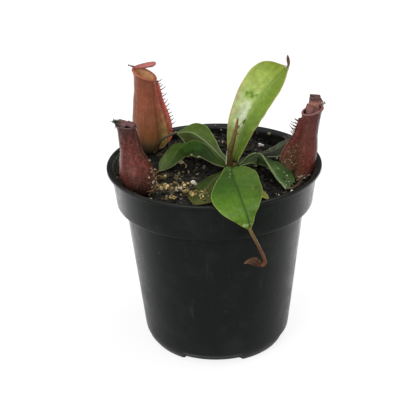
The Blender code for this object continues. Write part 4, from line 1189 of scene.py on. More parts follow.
def cut_drain_hole(pot, angle, index):
    """Adds a modifier that cuts one drain hole."""
    bm = bmesh.new()
    bmesh.ops.create_cone(
        bm, cap_ends=True, segments=32, radius1=DRAIN_HOLE_RADIUS * MM,
        radius2=DRAIN_HOLE_RADIUS * MM, depth=CUTTER_HEIGHT * MM,
    )
    mesh = bpy.data.meshes.new("drain_cutter")
    bm.to_mesh(mesh)
    bm.free()
    cutter = add_object(f"drain_cutter_{index}", mesh)
    reach = DRAIN_HOLE_CIRCLE * MM
    cutter.location = (reach * math.cos(angle), reach * math.sin(angle), 2.0 * MM)
    cutter.hide_render = True
    hole = pot.modifiers.new("Drain hole", "BOOLEAN")
    hole.object = cutter
    hole.operation = "DIFFERENCE"
    hole.solver = "EXACT"


def apply_modifiers(piece):
    """Keeps the mesh as its modifiers leave it, and removes the cutters they used."""
    bpy.context.view_layer.update()
    depsgraph = bpy.context.evaluated_depsgraph_get()
    mesh = bpy.data.meshes.new_from_object(piece.evaluated_get(depsgraph))
    cutters = [m.object for m in piece.modifiers if m.type == "BOOLEAN"]
    piece.modifiers.clear()
    piece.data = mesh
    for cutter in cutters:
        bpy.data.objects.remove(cutter, do_unlink=True)


# Potting mix


def soil_height(x, y):
    """Height of the mix's smooth surface."""
    height = SOIL_LEVEL + 0.35 * np.sin(0.23 * x + 0.8) * np.cos(0.19 * y - 0.4)
    for mound_x, mound_y, reach, rise in MOUNDS:
        distance = ((x - mound_x) ** 2 + (y - mound_y) ** 2) / reach**2
        height = height + rise * np.exp(-distance)
    return height


def soil_relief(points):
    """How far crumbs raise or lower the surface."""
    return sum(rise * noise_at(points, size, seed) for rise, size, seed in SOIL_WAVES)


def unshaded_share(x, y):
    """Share of its colour that the mix keeps at a spot, less where shade is painted on it."""
    kept = 1.0
    for shade_x, shade_y, reach, share in SHADE_SPOTS:
        distance = ((x - shade_x) ** 2 + (y - shade_y) ** 2) / reach**2
        kept = kept * (1.0 - share * np.exp(-distance))
    return kept


def ground(x, y):
    """Height of the crumbly surface at one spot."""
    point = np.array([[x, y, 0.0]])
    return float(soil_height(x, y) + soil_relief(point)[0])


def make_soil(material):
    """The mix: a plug inside the pot with a crumbly top."""
    steps, rings = SOIL_GRID
    angles = circle(steps)
    level = soil_height(SOIL_EDGE * np.cos(angles), SOIL_EDGE * np.sin(angles))
    edge = collar_radius(level) - WALL - 0.05
    rows = []
    for z in (SOIL_FOOT, LEDGE_Z - 1.0):
        radius = body_radius(z) - WALL - 0.1
        flat = np.stack([radius * np.cos(angles), radius * np.sin(angles), 0 * angles + z], 1)
        rows.append(flat)
    for ring in range(rings):
        share = (1.0 - ring / rings) ** 0.9
        x = share * edge * np.cos(angles)
        y = share * edge * np.sin(angles)
        flat = np.stack([x, y, 0 * x], axis=1)
        z = soil_height(x, y) + soil_relief(flat)
        rows.append(np.stack([x, y, z], axis=1))
    points = np.array(rows)
    faces = capped_faces(len(rows), steps)
    damp = noise_at(points, 6.0, 21, 3)[..., None]
    tint = linear(WET_PEAT) + np.clip(damp + 0.45, 0.0, 1.0) * (linear(PEAT) - linear(WET_PEAT))
    # Painted shade darkens the mix in a few places.
    tint = tint * unshaded_share(points[..., 0], points[..., 1])[..., None]
    soil = make_piece("potting_mix", points, faces, material, {"tint": tint})
    place(soil, "potting_mix", "soil")


def ball(subdivisions):
    """Points and triangles of a unit ball."""
    bm = bmesh.new()
    bmesh.ops.create_icosphere(bm, subdivisions=subdivisions, radius=1.0)
    verts = np.array([v.co[:] for v in bm.verts])
    faces = [tuple(v.index for v in f.verts) for f in bm.faces]
    bm.free()
    return verts, faces


def random_turn(shuffle, tilt=1.0):
    """A random rotation; a small tilt keeps flat things lying flat."""
    turn = Matrix.Rotation(shuffle.uniform(0.0, 2.0 * math.pi), 3, "Z")
    lean = Matrix.Rotation(shuffle.uniform(-1.0, 1.0) * tilt, 3, "X")
    roll = Matrix.Rotation(shuffle.uniform(-1.0, 1.0) * tilt, 3, "Y")
    return np.array(turn @ lean @ roll)


def random_way(shuffle):
    """A vector in a random direction."""
    return np.array([shuffle.gauss(0.0, 1.0) for _ in range(3)])


def add_lump(heap, shape, centre, size, turn, roughness, seed, tint, cuts=0):
    """A rough lump, with flat facets cut off it."""
    verts, faces = shape
    bulge = 1.0 + roughness * noise_at(verts * 1.7, 1.0, seed)
    points = verts * bulge[:, None]
    knife = random.Random(seed)
    for _ in range(cuts):
        side = unit(random_way(knife))
        above = np.maximum(points @ side - knife.uniform(0.25, 0.7), 0.0)
        points = points - above[:, None] * side
    heap.add((points * np.asarray(size) * 0.5) @ turn.T + np.asarray(centre), faces, tint)


def add_strand(heap, points, radii, tint, sides=5):
    """A thin tapering strand through the points."""
    points = np.asarray(points, float)
    radii = np.asarray(radii, float)
    travel = unit(np.gradient(points, axis=0))
    side = unit(np.cross(travel, (0.31, 0.22, 0.92)))
    up = np.cross(side, travel)
    rings = []
    for step in range(sides):
        angle = 2.0 * math.pi * step / sides
        rings.append(points + radii[:, None] * (math.cos(angle) * side + math.sin(angle) * up))
    verts = np.stack(rings, axis=1).reshape(-1, 3)
    heap.add(verts, capped_faces(len(points), sides, flip=True), tint)


def free_spot(shuffle, reach):
    """A random spot on the mix that is outside the feet of the pitchers."""
    while True:
        radius = reach * math.sqrt(shuffle.random())
        angle = shuffle.uniform(0.0, 2.0 * math.pi)
        x = radius * math.cos(angle)
        y = radius * math.sin(angle)
        feet = [p["axis"][2] for p in PITCHERS.values()]
        if all(math.hypot(x - fx, y - fy) > fr * 0.8 for fx, fy, _, fr in feet):
            return x, y


def drawn(shuffle, span):
    """A random number within a span, or the number itself."""
    return shuffle.uniform(*span) if isinstance(span, tuple) else span


def chip_size(shuffle, long, wide, thick):
    """Sides of a chip, from its length and the other sides' shares of it."""
    return (long, long * drawn(shuffle, wide), long * drawn(shuffle, thick))


def scatter_chips(heap, shuffle, kind):
    """Small chips of one kind, scattered over the mix."""
    chip = CHIPS[kind]
    shape = ball(chip["detail"])
    tones = chip["tones"]
    for index in range(chip["count"]):
        x, y = free_spot(shuffle, chip["reach"])
        size = chip_size(shuffle, drawn(shuffle, chip["long"]), chip["wide"], chip["thick"])
        tone = tones[0] if len(tones) == 1 else shuffle.choice(tones)
        tint = linear(tone) * shuffle.uniform(*chip["shades"])
        centre = (x, y, ground(x, y) + chip["lift"] * size[2])
        turn = random_turn(shuffle, chip["tilt"])
        seed = chip["seed"] + index
        add_lump(heap, shape, centre, size, turn, chip["roughness"], seed, tint, chip["cuts"])


def make_crumbs(material):
    """Lumps of peat and bark that cover the mix."""
    shuffle = random.Random(SEEDS["crumbs"])
    heap = Heap()
    shape = ball(2)
    for seed in range(CRUMB_COUNT):
        x, y = free_spot(shuffle, STREWN_EDGE)
        long = shuffle.choice((1.0, 1.3, 1.8, 2.4, 3.4)) * shuffle.uniform(0.8, 1.2)
        size = chip_size(shuffle, long, (0.5, 0.9), (0.4, 0.7))
        centre = (x, y, ground(x, y) + 0.22 * size[2])
        # Painted shade darkens the crumbs in the same places.
        tint = linear(shuffle.choice(CRUMB_TONES)) * shuffle.uniform(0.6, 1.3) * unshaded_share(x, y)
        add_lump(heap, shape, centre, size, random_turn(shuffle, 0.6), 0.4, seed, tint, 4)
    place(heap.build("peat_crumbs", material, smooth=False), "potting_mix")


def make_litter(material):
    """Fibres, fine roots, bark slivers and pale grit scattered over the mix."""
    shuffle = random.Random(SEEDS["litter"])
    heap = Heap()
    for _ in range(FIBRE_COUNT):
        x, y = free_spot(shuffle, STREWN_EDGE - 0.5)
        length = shuffle.uniform(1.5, 5.5)
        heading = shuffle.uniform(0.0, 2.0 * math.pi)
        bend = shuffle.uniform(-1.2, 1.2)
        points = []
        for step in range(FIBRE_STEPS + 1):
            arch = 0.5 * math.sin(math.pi * (step / FIBRE_STEPS))
            points.append((x, y, ground(x, y) + 0.25 + arch))
            x += length / FIBRE_STEPS * math.cos(heading)
            y += length / FIBRE_STEPS * math.sin(heading)
            heading += bend / FIBRE_STEPS * 2.0
            if math.hypot(x, y) > STREWN_EDGE + 0.1:
                break
        if len(points) < 4:
            continue
        thick = shuffle.uniform(0.06, 0.2)
        radii = [thick * (1.0 - 0.6 * k / len(points)) for k in range(len(points))]
        tint = linear(shuffle.choice(FIBRE_TONES)) * shuffle.uniform(0.4, 1.0)
        add_strand(heap, points, radii, tint, 4)
    scatter_chips(heap, shuffle, "grit")
    place(heap.build("fine_litter", material), "potting_mix")


def make_wall_dirt(material):
    """Specks of mix stuck to the inside of the pot above the soil line."""
    shuffle = random.Random(SEEDS["wall"])
    heap = Heap()
    shape = ball(1)
    for index in range(WALL_SPECK_COUNT):
        angle = shuffle.uniform(0.0, 2.0 * math.pi)
        foot = float(soil_height(SOIL_EDGE * math.cos(angle), SOIL_EDGE * math.sin(angle)))
        z = foot + 0.5 + abs(shuffle.gauss(0.0, 2.0))
        if z > POT_HEIGHT - 2.2:
            continue
        radius = collar_radius(z) - WALL - 0.1
        long = shuffle.uniform(0.3, 1.3)
        centre = (radius * math.cos(angle), radius * math.sin(angle), z)
        size = (long, long * 0.7, long * 0.6)
        tint = linear(shuffle.choice(DIRT_TONES)) * shuffle.uniform(0.5, 1.1)
        seed = FIRST_LUMP["wall"] + index
        add_lump(heap, shape, centre, size, random_turn(shuffle), 0.3, seed, tint)
    place(heap.build("wall_specks", material), "potting_mix")


# Grains


def grain_centre(x, y, thick):
    """Centre of a grain of that thickness that lies on the mix."""
    return (x, y, float(soil_height(x, y)) + 0.5 + 0.45 * thick)


def add_cluster(heap, shape, centre, size, turn, seed, tint):
    """A crumbly grain: angular flakes packed around a darker core, a painted shade that shows in the
    gaps between them.
    """
    shuffle = random.Random(seed)
    size = np.asarray(size)
    # Painted shade: the dark core shows through the gaps between the flakes.
    add_lump(heap, shape, centre, size * 0.75, turn, 0.4, seed, np.asarray(tint) * 0.3, 6)
    for flake in range(10):
        way = unit(random_way(shuffle))
        offset = turn @ (way * size * 0.34)
        long = float(size[0]) * shuffle.uniform(0.4, 0.75)
        plate = chip_size(shuffle, long, (0.5, 1.0), (0.2, 0.5))
        shade = np.asarray(tint) * shuffle.choice((0.1, 0.35, 0.9, 1.3))
        spot = np.asarray(centre) + offset
        turned = random_turn(shuffle, 1.2)
        add_lump(heap, shape, spot, plate, turned, 0.4, seed * 31 + flake, shade, 6)


def turned_about_z(degrees):
    return Matrix.Rotation(math.radians(degrees), 3, "Z")


def grains_of(kind):
    return [spec[1:] for spec in GRAINS if spec[0] == kind]


def make_vermiculite():
    """Golden flakes: the grains of the frame, and piles of small chips about them."""
    material = grain_material("vermiculite", 0.5, 0.5, 0.1, 0.3, sheen=0.1)
    shuffle = random.Random(SEEDS["vermiculite"])
    heap = Heap()
    small = ball(2)
    for index, (x, y, long, wide, thick, turn) in enumerate(grains_of("vermiculite")):
        matrix = np.array(turned_about_z(turn) @ Matrix.Rotation(0.3, 3, "X"))
        centre = grain_centre(x, y, thick)
        tint = linear(GOLD_TONES[index])
        seed = FIRST_LUMP["vermiculite"] + index
        add_cluster(heap, small, centre, (long, wide, thick), matrix, seed, tint)
    seed = FIRST_LUMP["piles"]
    for x, y, rise, spread, count, longest in PILES:
        for _ in range(count):
            seed += 1
            spot_x = shuffle.gauss(x, spread)
            spot_y = shuffle.gauss(y, 1.3 * spread)
            long = longest * shuffle.uniform(0.35, 1.1)
            size = chip_size(shuffle, long, (0.5, 0.9), (0.2, 0.45))
            tint = linear(shuffle.choice(GOLD_TONES)) * shuffle.choice(GOLD_SHADES)
            centre = (spot_x, spot_y, ground(spot_x, spot_y) + rise + 0.3 * size[2])
            turn = random_turn(shuffle, 1.3)
            add_lump(heap, small, centre, size, turn, 0.45, seed, tint, 5)
    names = [f"vermiculite_{i + 1}" for i in range(len(grains_of("vermiculite")))]
    flakes = heap.build("vermiculite_flakes", material, smooth=False)
    place(flakes, "vermiculite", *names)


def make_perlite():
    """White grains: those of the frame, scattered small ones and the single bits."""
    material = grain_material("perlite", 0.85, 0.45, 0.22, 0.08)
    shuffle = random.Random(SEEDS["perlite"])
    heap = Heap()
    shape = ball(3)
    for index, (x, y, long, wide, thick, turn) in enumerate(grains_of("perlite")):
        matrix = np.array(turned_about_z(turn))
        size = (long, wide, thick)
        tint = linear(CHALK)
        centre = grain_centre(x, y, thick)
        seed = FIRST_LUMP["perlite"] + index
        add_lump(heap, shape, centre, size, matrix, 0.4, seed, tint, 3)
    scatter_chips(heap, shuffle, "perlite")
    for index, (x, y, z, long, tone) in enumerate(PALE_BITS):
        size = (long, long * 0.7, long * 0.55)
        centre = (x, y, z or ground(x, y) + 0.3 * long)
        seed = FIRST_LUMP["pale bits"] + index
        add_lump(heap, shape, centre, size, random_turn(shuffle), 0.5, seed, linear(tone), 6)
    names = [f"perlite_{i + 1}" for i in range(len(grains_of("perlite")))]
    place(heap.build("perlite_grains", material), "perlite", *names)


def make_bark():
    """The bark chip of the frame, and slivers scattered over the mix."""
    material = grain_material("bark", 0.85, 0.8, 0.25, 0.35)
    shuffle = random.Random(SEEDS["bark"])
    heap = Heap()
    shape = ball(3)
    for index, (x, y, long, wide, thick, turn) in enumerate(grains_of("bark")):
        matrix = np.array(turned_about_z(turn))
        size = (long, wide, thick)
        tint = linear(BARK_OLIVE)
        seed = FIRST_LUMP["bark"] + index
        add_cluster(heap, shape, grain_centre(x, y, thick), size, matrix, seed, tint)
    scatter_chips(heap, shuffle, "bark")
    place(heap.build("bark_chips", material, smooth=False), "bark", "bark_1")


def make_grit(material):
    """Chips and fine roots that stick to two pitchers, and grit and painted glints on a wing of the
    right one.
    """
    shuffle = random.Random(SEEDS["grit"])
    heap = Heap()
    shape = ball(2)
    seed = FIRST_LUMP["grit"]
    for name, count, near, far, low, high, longest in GRIT:
        pitcher = PITCHERS[name]
        for _ in range(count):
            seed += 1
            angle = math.radians(shuffle.uniform(near, far))
            share = low + (high - low) * shuffle.random() ** 1.3
            spot = cup_points(pitcher, share, angle, -0.25)
            long = longest * shuffle.uniform(0.3, 1.0)
            size = chip_size(shuffle, long, (0.5, 0.9), (0.3, 0.7))
            tint = linear(shuffle.choice(GRIT_TONES)) * shuffle.uniform(0.25, 1.1)
            add_lump(heap, shape, spot, size, random_turn(shuffle), 0.4, seed, tint, 4)
            if shuffle.random() < 0.3:
                turns = angle + np.linspace(0.0, shuffle.uniform(-0.5, 0.5), 6)
                rises = share + np.linspace(0.0, shuffle.uniform(-0.1, 0.1), 6)
                root = cup_points(pitcher, np.clip(rises, 0.02, 0.9), turns, -0.35)
                add_strand(heap, root, np.full(6, 0.12), linear(ROOT_BROWN) * 0.8, 4)
    add_wing_specks(heap, shape, shuffle, seed)
    place(heap.build("stuck_grit_and_glints", material, smooth=False), "vermiculite")


def add_wing_specks(heap, shape, shuffle, seed):
    """Specks on the wing of pitcher_right that faces the photographer: grit, the pale ones also
    painted glints of water drops.
    """
    pitcher = PITCHERS["pitcher_right"]
    for _ in range(WING_SPECK_COUNT):
        seed += 1
        share = shuffle.uniform(0.1, 0.55)
        spot, _ = wing_points(pitcher, 1, np.array(share), np.array(shuffle.uniform(0.1, 0.9)))
        spot = spot + np.array((0.0, -0.4, 0.2))
        long = shuffle.uniform(0.3, 0.9)
        tint = linear(shuffle.choice(WING_TONES)) * shuffle.uniform(0.3, 1.0)
        add_lump(heap, shape, spot, (long, long, long), random_turn(shuffle), 0.4, seed, tint, 3)


# Leaves and lids


def blade_surface(blade, rows, columns):
    """Points of a blade's upper side, with their way along, across and in from the margin."""
    stations = np.array(blade["stations"], float)
    last = len(stations) - 1
    along = np.linspace(0.0, 1.0, rows)
    across = np.linspace(-1.0, 1.0, columns)
    t = along * last
    values = spline(stations, t)
    ahead = spline(stations, np.minimum(t + 0.02, last))[:, :3]
    behind = spline(stations, np.maximum(t - 0.02, 0.0))[:, :3]
    travel = unit(ahead - behind)
    to_right = unit(np.cross(travel, np.array(blade["up"])))
    normal = np.cross(to_right, travel)
    left = (across < 0.0)[None, :]
    width = np.maximum(np.where(left, values[:, 3:4], values[:, 4:5]), 0.15)
    lift = np.where(left, values[:, 5:6], values[:, 6:7])
    points = np.repeat(values[:, None, :3], columns, axis=1)
    side = np.sign(across)[None, :, None] * to_right[:, None, :]
    reach = (np.abs(across)[None, :] * width / CURL_STEPS)[..., None]
    for step in range(CURL_STEPS):
        bend = blade["curl"] * np.abs(across)[None, :] * (step + 0.5) / CURL_STEPS
        angle = np.radians(lift + bend)[..., None]
        points = points + reach * (np.cos(angle) * side + np.sin(angle) * normal[:, None, :])
    gaps = np.linalg.norm(np.diff(values[:, :3], axis=0), axis=1)
    way = np.concatenate([[0.0], np.cumsum(gaps)])
    mm_along = np.repeat(way[:, None], columns, axis=1)
    mm_across = across[None, :] * width
    inward = (1.0 - np.abs(across))[None, :] * width
    return points, np.stack([mm_along, mm_across, inward], axis=2), along, across


def surface_normals(points):
    """Unit normals of a grid of points."""
    travel = np.gradient(points, axis=0)
    right = np.gradient(points, axis=1)
    return unit(np.cross(right, travel))


def blade_tint(blade, along, across):
    """Colour of each point, from the two halves' colours along the blade."""
    places, left, right = zip(*blade["colours"])
    share = (1.0 / (1.0 + np.exp(-across * RIB_SHARPNESS)))[None, :, None]
    left = graded(along, places, left)[:, None, :]
    return left * (1.0 - share) + graded(along, places, right)[:, None, :] * share


def leaf_relief(points, ways, along, across, index):
    """Height of a leaf's rib groove and shoulders, pleats and waves at each point."""
    mm_across = ways[..., 1]
    off = np.abs(mm_across)
    depth, groove_half = RIB_GROOVE
    groove = -depth * np.exp(-((mm_across / groove_half) ** 2))
    rise, from_rib, shoulder_half = RIB_SHOULDER
    shoulder = rise * np.exp(-(((off - from_rib) / shoulder_half) ** 2))
    pleat, spacing = PLEATS
    ridges = pleat * np.cos(off * 2.0 * math.pi / spacing)
    slack = waves(points, BROAD_WAVES, index + 1) + waves(points, FINE_WAVES, index + 30)
    ripple = np.abs(across)[None, :] ** 3 * waves(points, MARGIN_WAVES, index + 60)
    relief = groove + shoulder + ridges + slack + ripple
    ends = np.minimum(1.0, np.minimum(along, 1.0 - along) / 0.06)
    return relief * ends[:, None]


def add_spots_and_highlights(tint, blade, points, ways, along, across, index):
    """The leaf's colours with its blemishes and painted highlights laid over them, ragged at their
    edges.
    """
    length = ways[-1, 0, 0]
    for place_along, place_across, reach, tone in blade.get("spots_and_highlights", ()):
        row = (along[:, None] - place_along) * length
        column = (across[None, :] - place_across) * np.abs(ways[:, :1, 1])
        ragged = 0.6 * reach * noise_at(points, 0.5 * reach + 0.5, index + 80, 2)
        distance = np.hypot(row, column) + ragged
        edge = SMALL_SPOT_EDGE if reach < SMALL_SPOT else LARGE_SPOT_EDGE
        strength = np.clip(edge * (SPOT_MARGIN - distance / reach), 0.0, 1.0)[..., None]
        tint = tint + (linear(tone) - tint) * strength
    return tint


def make_leaf(index, name):
    """A leaf with a grooved rib, gentle waves, blemishes and painted highlights."""
    blade = LEAVES[name]
    points, ways, along, across = blade_surface(blade, *LEAF_GRID)
    normals = surface_normals(points)
    relief = leaf_relief(points, ways, along, across, index)
    points = points + normals * relief[..., None]
    tint = add_spots_and_highlights(blade_tint(blade, along, across), blade, points, ways, along, across, index)
    shine = blade.get("shine", LEAF_SHINE)
    material = leaf_material(name, blade["rib"], blade["edge"], blade["gloss"], shine)
    faces = grid_faces(*points.shape[:2])
    leaf = make_piece(f"{name}_blade", points, faces, material, {"tint": tint, "blade": ways})
    add_shell(leaf, LEAF_THICKNESS)
    place(leaf, blade["slot"], name)


def make_lid(index, name, material):
    """A pitcher's lid, crumpled and darker at its margin."""
    blade = LIDS[name]
    points, ways, along, across = blade_surface(blade, *LID_GRID)
    normals = surface_normals(points)
    crumple = waves(points, (1.4, 2.4), index + 90) + waves(points, (0.6, 1.0), index)
    relief = blade["wrinkle"] * crumple
    relief -= 0.15 * np.exp(-((ways[..., 1] / 0.4) ** 2))
    points = points + normals * relief[..., None]
    tint = blade_tint(blade, along, across)
    edge = np.clip(1.0 - ways[..., 2:] / 0.7, 0.0, 1.0)
    tint = tint * (1.0 - edge) + linear(blade["edge"]) * edge
    faces = grid_faces(*points.shape[:2])
    lid = make_piece(f"{name}_flap", points, faces, material, {"tint": tint})
    add_shell(lid, LID_THICKNESS)
    place(lid, blade["slot"], name)


# Pitchers


def cup_frame(pitcher):
    """Unit vectors towards the wings and across the cup."""
    angle = math.radians(pitcher["front"])
    front = np.array((math.cos(angle), math.sin(angle), 0.0))
    return front, np.array((-front[1], front[0], 0.0))


def cup_points(pitcher, along, angle, inset=0.0):
    """Points on the cup's wall, at angles from its front, moved in by inset."""
    along, angle = np.broadcast_arrays(np.asarray(along, float), np.asarray(angle, float))
    axis = pitcher["axis"]
    row = spline(axis, along * (len(axis) - 1))
    front, across = cup_frame(pitcher)
    oblique = np.maximum(0.0, (along - 0.55) / 0.45) ** 2
    flare = pitcher["flare"] * np.maximum(0.0, (along - 0.9) / 0.1) ** 2
    radius = np.maximum(row[..., 3] + flare - inset, 0.4)
    drop = pitcher["slope"] * oblique * radius * np.cos(angle)
    turn = np.cos(angle)[..., None] * front + np.sin(angle)[..., None] * across
    points = row[..., :3] + radius[..., None] * turn
    points[..., 2] -= drop
    return points


def cup_tint(pitcher, along, angle):
    """Colour of the cup's wall, from the colours of its front, sides and back."""
    places, *columns = zip(*pitcher["colours"])
    front, side, back = (graded(along, places, column) for column in columns)
    facing = np.cos(angle)[..., None]
    return np.where(facing > 0, side + (front - side) * facing, side + (side - back) * facing)


def make_cup(index, name, material):
    """A pitcher's wall: up the outside, over the mouth and down the lining."""
    pitcher = PITCHERS[name]
    around, height = CUP_GRID
    depth = LINING_ROWS
    angle = circle(around)[None, :]
    up = np.linspace(0.0, 1.0, height)[:, None]
    down = np.linspace(1.0, 0.04, depth)[:, None]
    outer = cup_points(pitcher, up, angle)
    inner = cup_points(pitcher, down, angle, CUP_WALL)
    outer_up, outer_angle = np.broadcast_arrays(up, angle)
    turn = outer - outer.mean(axis=1, keepdims=True)
    outward = unit(turn * FLAT)
    crease = pitcher["wrinkle"]
    puckers = np.clip((outer_up - 0.55) / 0.45, 0.0, 1.0)
    stretched = outer * (1.0, 1.0, 0.35)
    relief = 0.25 * noise_at(outer, 6.0, index + 1)
    relief += crease * noise_at(stretched, 1.7, index + 5) * (0.5 + 1.2 * puckers)
    relief += 0.06 * np.cos(outer_angle * 22.0) * np.sin(np.pi * outer_up)
    relief *= np.clip(outer_up / 0.05, 0.0, 1.0)
    outer = outer + outward * relief[..., None]
    points = np.concatenate([outer, inner])
    faces = capped_faces(height + depth, around)
    skin = cup_tint(pitcher, outer_up, outer_angle)
    lining = np.broadcast_to(linear(pitcher["lining"]), inner.shape)
    # Painted shade: the lining darkens towards the bottom of the cup, and its first row, just inside
    # the mouth, is darker still.
    shade = np.linspace(1.0, 0.4, depth)[:, None, None]
    shade[0] *= MOUTH_SHADE
    tint = np.concatenate([skin, lining * shade])
    cup = make_piece(f"{name}_cup", points, faces, material, {"tint": tint})
    place(cup, pitcher["slot"], name)


def make_rim(index, name, material):
    """The rolled, finely ribbed lip of the mouth."""
    pitcher = PITCHERS[name]
    around, section = LIP_GRID
    roll, lift = pitcher["rim"]
    angle = circle(around)
    line = cup_points(pitcher, 1.0, angle, CUP_WALL * 0.5)
    outward = unit((line - line.mean(axis=0)) * FLAT)
    ribs = 1.0 + 0.10 * np.cos(angle * LIP_RIBS)
    waver = 1.0 + 1.75 * pitcher["wrinkle"] * noise_at(line, 2.5, index + 70)
    rings = []
    for step in range(section):
        turn = 2.0 * math.pi * step / section
        out = (roll * math.cos(turn) + 0.35 * roll) * ribs * waver
        rise = (lift * math.sin(turn) - 0.3 * lift * math.cos(turn)) * ribs
        rings.append(line + outward * out[:, None] + UPWARDS * rise[:, None])
    points = np.array(rings)
    closed = np.concatenate([points, points[:1]])
    faces = grid_faces(section + 1, around, wrap=True)
    tone = linear(pitcher["rim_colour"])
    # Painted shade: the lip is lighter on its ribs and darker between them, with noise for random
    # tone.
    rib_shade_and_tone = 1.0 + 0.16 * np.cos(angle * LIP_RIBS) + 0.2 * noise_at(line, 3.0, index)
    tint = np.broadcast_to(tone, (section + 1, around, 3)) * rib_shade_and_tone[None, :, None]
    rim = make_piece(f"{name}_lip", closed, faces, material, {"tint": tint})
    weld_close(rim)
    place(rim, pitcher["slot"])


def weld_close(piece):
    """Joins points that lie on each other."""
    bm = bmesh.new()
    bm.from_mesh(piece.data)
    bmesh.ops.remove_doubles(bm, verts=bm.verts, dist=SEAM_REACH * MM)
    bm.to_mesh(piece.data)
    bm.free()


def wing_points(pitcher, side, share, out):
    """Points of one wing: share runs from its foot to its top, out from root to edge."""
    stations = np.array(pitcher["wings"])
    along = stations[0, 0] + share * (stations[-1, 0] - stations[0, 0])
    width = np.interp(along, stations[:, 0], stations[:, 1])
    smooth = np.interp(along + 0.02, stations[:, 0], stations[:, 1])
    width = 0.5 * (width + smooth) + WING_ROOT
    front, across = cup_frame(pitcher)
    root_angle = side * math.radians(pitcher["spread"])
    outward = math.cos(root_angle / 2.0) * front + math.sin(root_angle / 2.0) * across
    root = cup_points(pitcher, along, root_angle, WING_ROOT)
    return root + outward * (out * width)[..., None], outward


def make_wings(index, name, material, hair_material):
    """A pitcher's two wings, and the hairs on their edges."""
    pitcher = PITCHERS[name]
    rows, columns = WING_GRID
    share = np.linspace(0.0, 1.0, rows)[:, None]
    out = np.linspace(0.0, 1.0, columns)[None, :]
    fringe = Heap()
    shuffle = random.Random(SEEDS["wings"] + index)
    for side, label in ((-1, "a"), (1, "b")):
        share_all, out_all = np.broadcast_arrays(share, out)
        points, outward = wing_points(pitcher, side, share_all, out_all)
        normals = surface_normals(points)
        ripple = out_all**1.5 * (0.5 * noise_at(points, 3.6, index * 3 + side + 2))
        points = points + normals * ripple[..., None]
        low_root, low_edge, high_root, high_edge = linear(pitcher["wing_colours"][side > 0])
        outer = out_all[..., None] ** 1.3
        low = low_root + (low_edge - low_root) * outer
        high = high_root + (high_edge - high_root) * outer
        blend = np.clip(share_all * 2.2 - 0.5, 0.0, 1.0)[..., None]
        tint = low + (high - low) * blend
        faces = grid_faces(rows, columns)
        wing = make_piece(f"{name}_wing_{label}", points, faces, material, {"tint": tint})
        add_shell(wing, WING_THICKNESS)
        place(wing, pitcher["slot"])
        if side in pitcher["hairy_sides"]:
            add_fringe(fringe, pitcher, points[:, -1], outward, shuffle)
    if fringe.verts:
        place(fringe.build(f"{name}_fringe", hair_material), pitcher["slot"])


def add_fringe(heap, pitcher, edge, outward, shuffle):
    """The comb of stiff hairs along a wing's edge."""
    tone = linear(pitcher["hair_colour"])
    first = round(pitcher["hair_from"] * len(edge))
    for row in range(first, len(edge), HAIR_STEP):
        length = pitcher["hair"] * shuffle.uniform(0.5, 1.2) * (0.7 + 0.6 * row / len(edge))
        lean = np.array((0.0, 0.0, shuffle.uniform(0.25, 0.8)))
        scatter = np.array([shuffle.uniform(-0.35, 0.35) for _ in range(3)])
        heading = unit(outward + lean + scatter)
        upturn = UPWARDS * 0.25 * length
        steps = np.linspace(0.0, 1.0, 5)[:, None]
        points = edge[row] + heading * steps * length + upturn * steps**2
        radii = HAIR_RADIUS * (1.0 - 0.6 * steps[:, 0])
        add_strand(heap, points, radii, tone * shuffle.uniform(0.7, 1.2))


def make_spurs(material):
    """The spur behind each lid with its tuft of hairs, and the nib on the new leaf."""
    shuffle = random.Random(SEEDS["spurs"])
    for name, slot, start, end, radius, hairs, length, tone, hair_tone in SPURS:
        heap = Heap()
        start = np.array(start)
        end = np.array(end)
        steps = np.linspace(0.0, 1.0, 8)
        points = start + (end - start) * steps[:, None]
        points[:, 2] += 0.25 * radius * np.sin(steps * 7.0)
        add_strand(heap, points, radius * (1.0 - 0.75 * steps**2), linear(tone), 10)
        for _ in range(hairs):
            foot = points[shuffle.randrange(2, 8)]
            heading = unit(random_way(shuffle) + (0.0, -0.3, 0.6))
            way = np.linspace(0.0, 1.0, 4)[:, None] * length * shuffle.uniform(0.5, 1.0)
            hair = foot + heading * way - np.array((0.0, 0.0, 0.12)) * way**2
            shade = linear(hair_tone) * shuffle.uniform(0.3, 1.1)
            add_strand(heap, hair, np.linspace(HAIR_RADIUS, 0.04, 4), shade, 4)
        place(heap.build(name, material), slot)


# Round parts


def make_tube(index, name, material):
    """A tapering strand with lengthwise ridges."""
    part = TUBES[name]
    route = part["route"]
    gaps = [math.dist(a[:3], b[:3]) for a, b in zip(route, route[1:])]
    rows = max(24, round(sum(gaps) / TUBE_STEP))
    around = TUBE_SIDES
    share = np.linspace(0.0, 1.0, rows)
    values = spline(route, share * (len(route) - 1))
    line = values[:, :3]
    travel = unit(np.gradient(line, axis=0))
    side = unit(np.cross(travel, (0.35, -0.86, 0.37)))
    up = np.cross(side, travel)
    angle = circle(around)
    turn = angle[None, :, None]
    ring = np.cos(turn) * side[:, None, :] + np.sin(turn) * up[:, None, :]
    twist = np.cos(angle[None, :] * 5.0 + share[:, None] * 9.0)
    radius = np.maximum(values[:, 3:4], 0.08) * (1.0 + part["ridge"] * twist)
    points = line[:, None, :] + ring * radius[..., None]
    knots = noise_at(points, 1.3, index + 12) * part["ridge"] * 1.6
    points = points + ring * (knots * values[:, 3:4])[..., None]
    faces = capped_faces(rows, around, flip=True)
    fade = graded(share, (0.0, 0.5, 1.0), part["colours"])
    # Painted shade: the ridges' crests are made lighter and their grooves darker.
    tint = np.repeat(fade[:, None, :], around, axis=1) * (1.0 + 0.12 * twist)[..., None]
    tube = make_piece(f"{name}_strand", points, faces, material, {"tint": tint})
    place(tube, part["slot"], name)


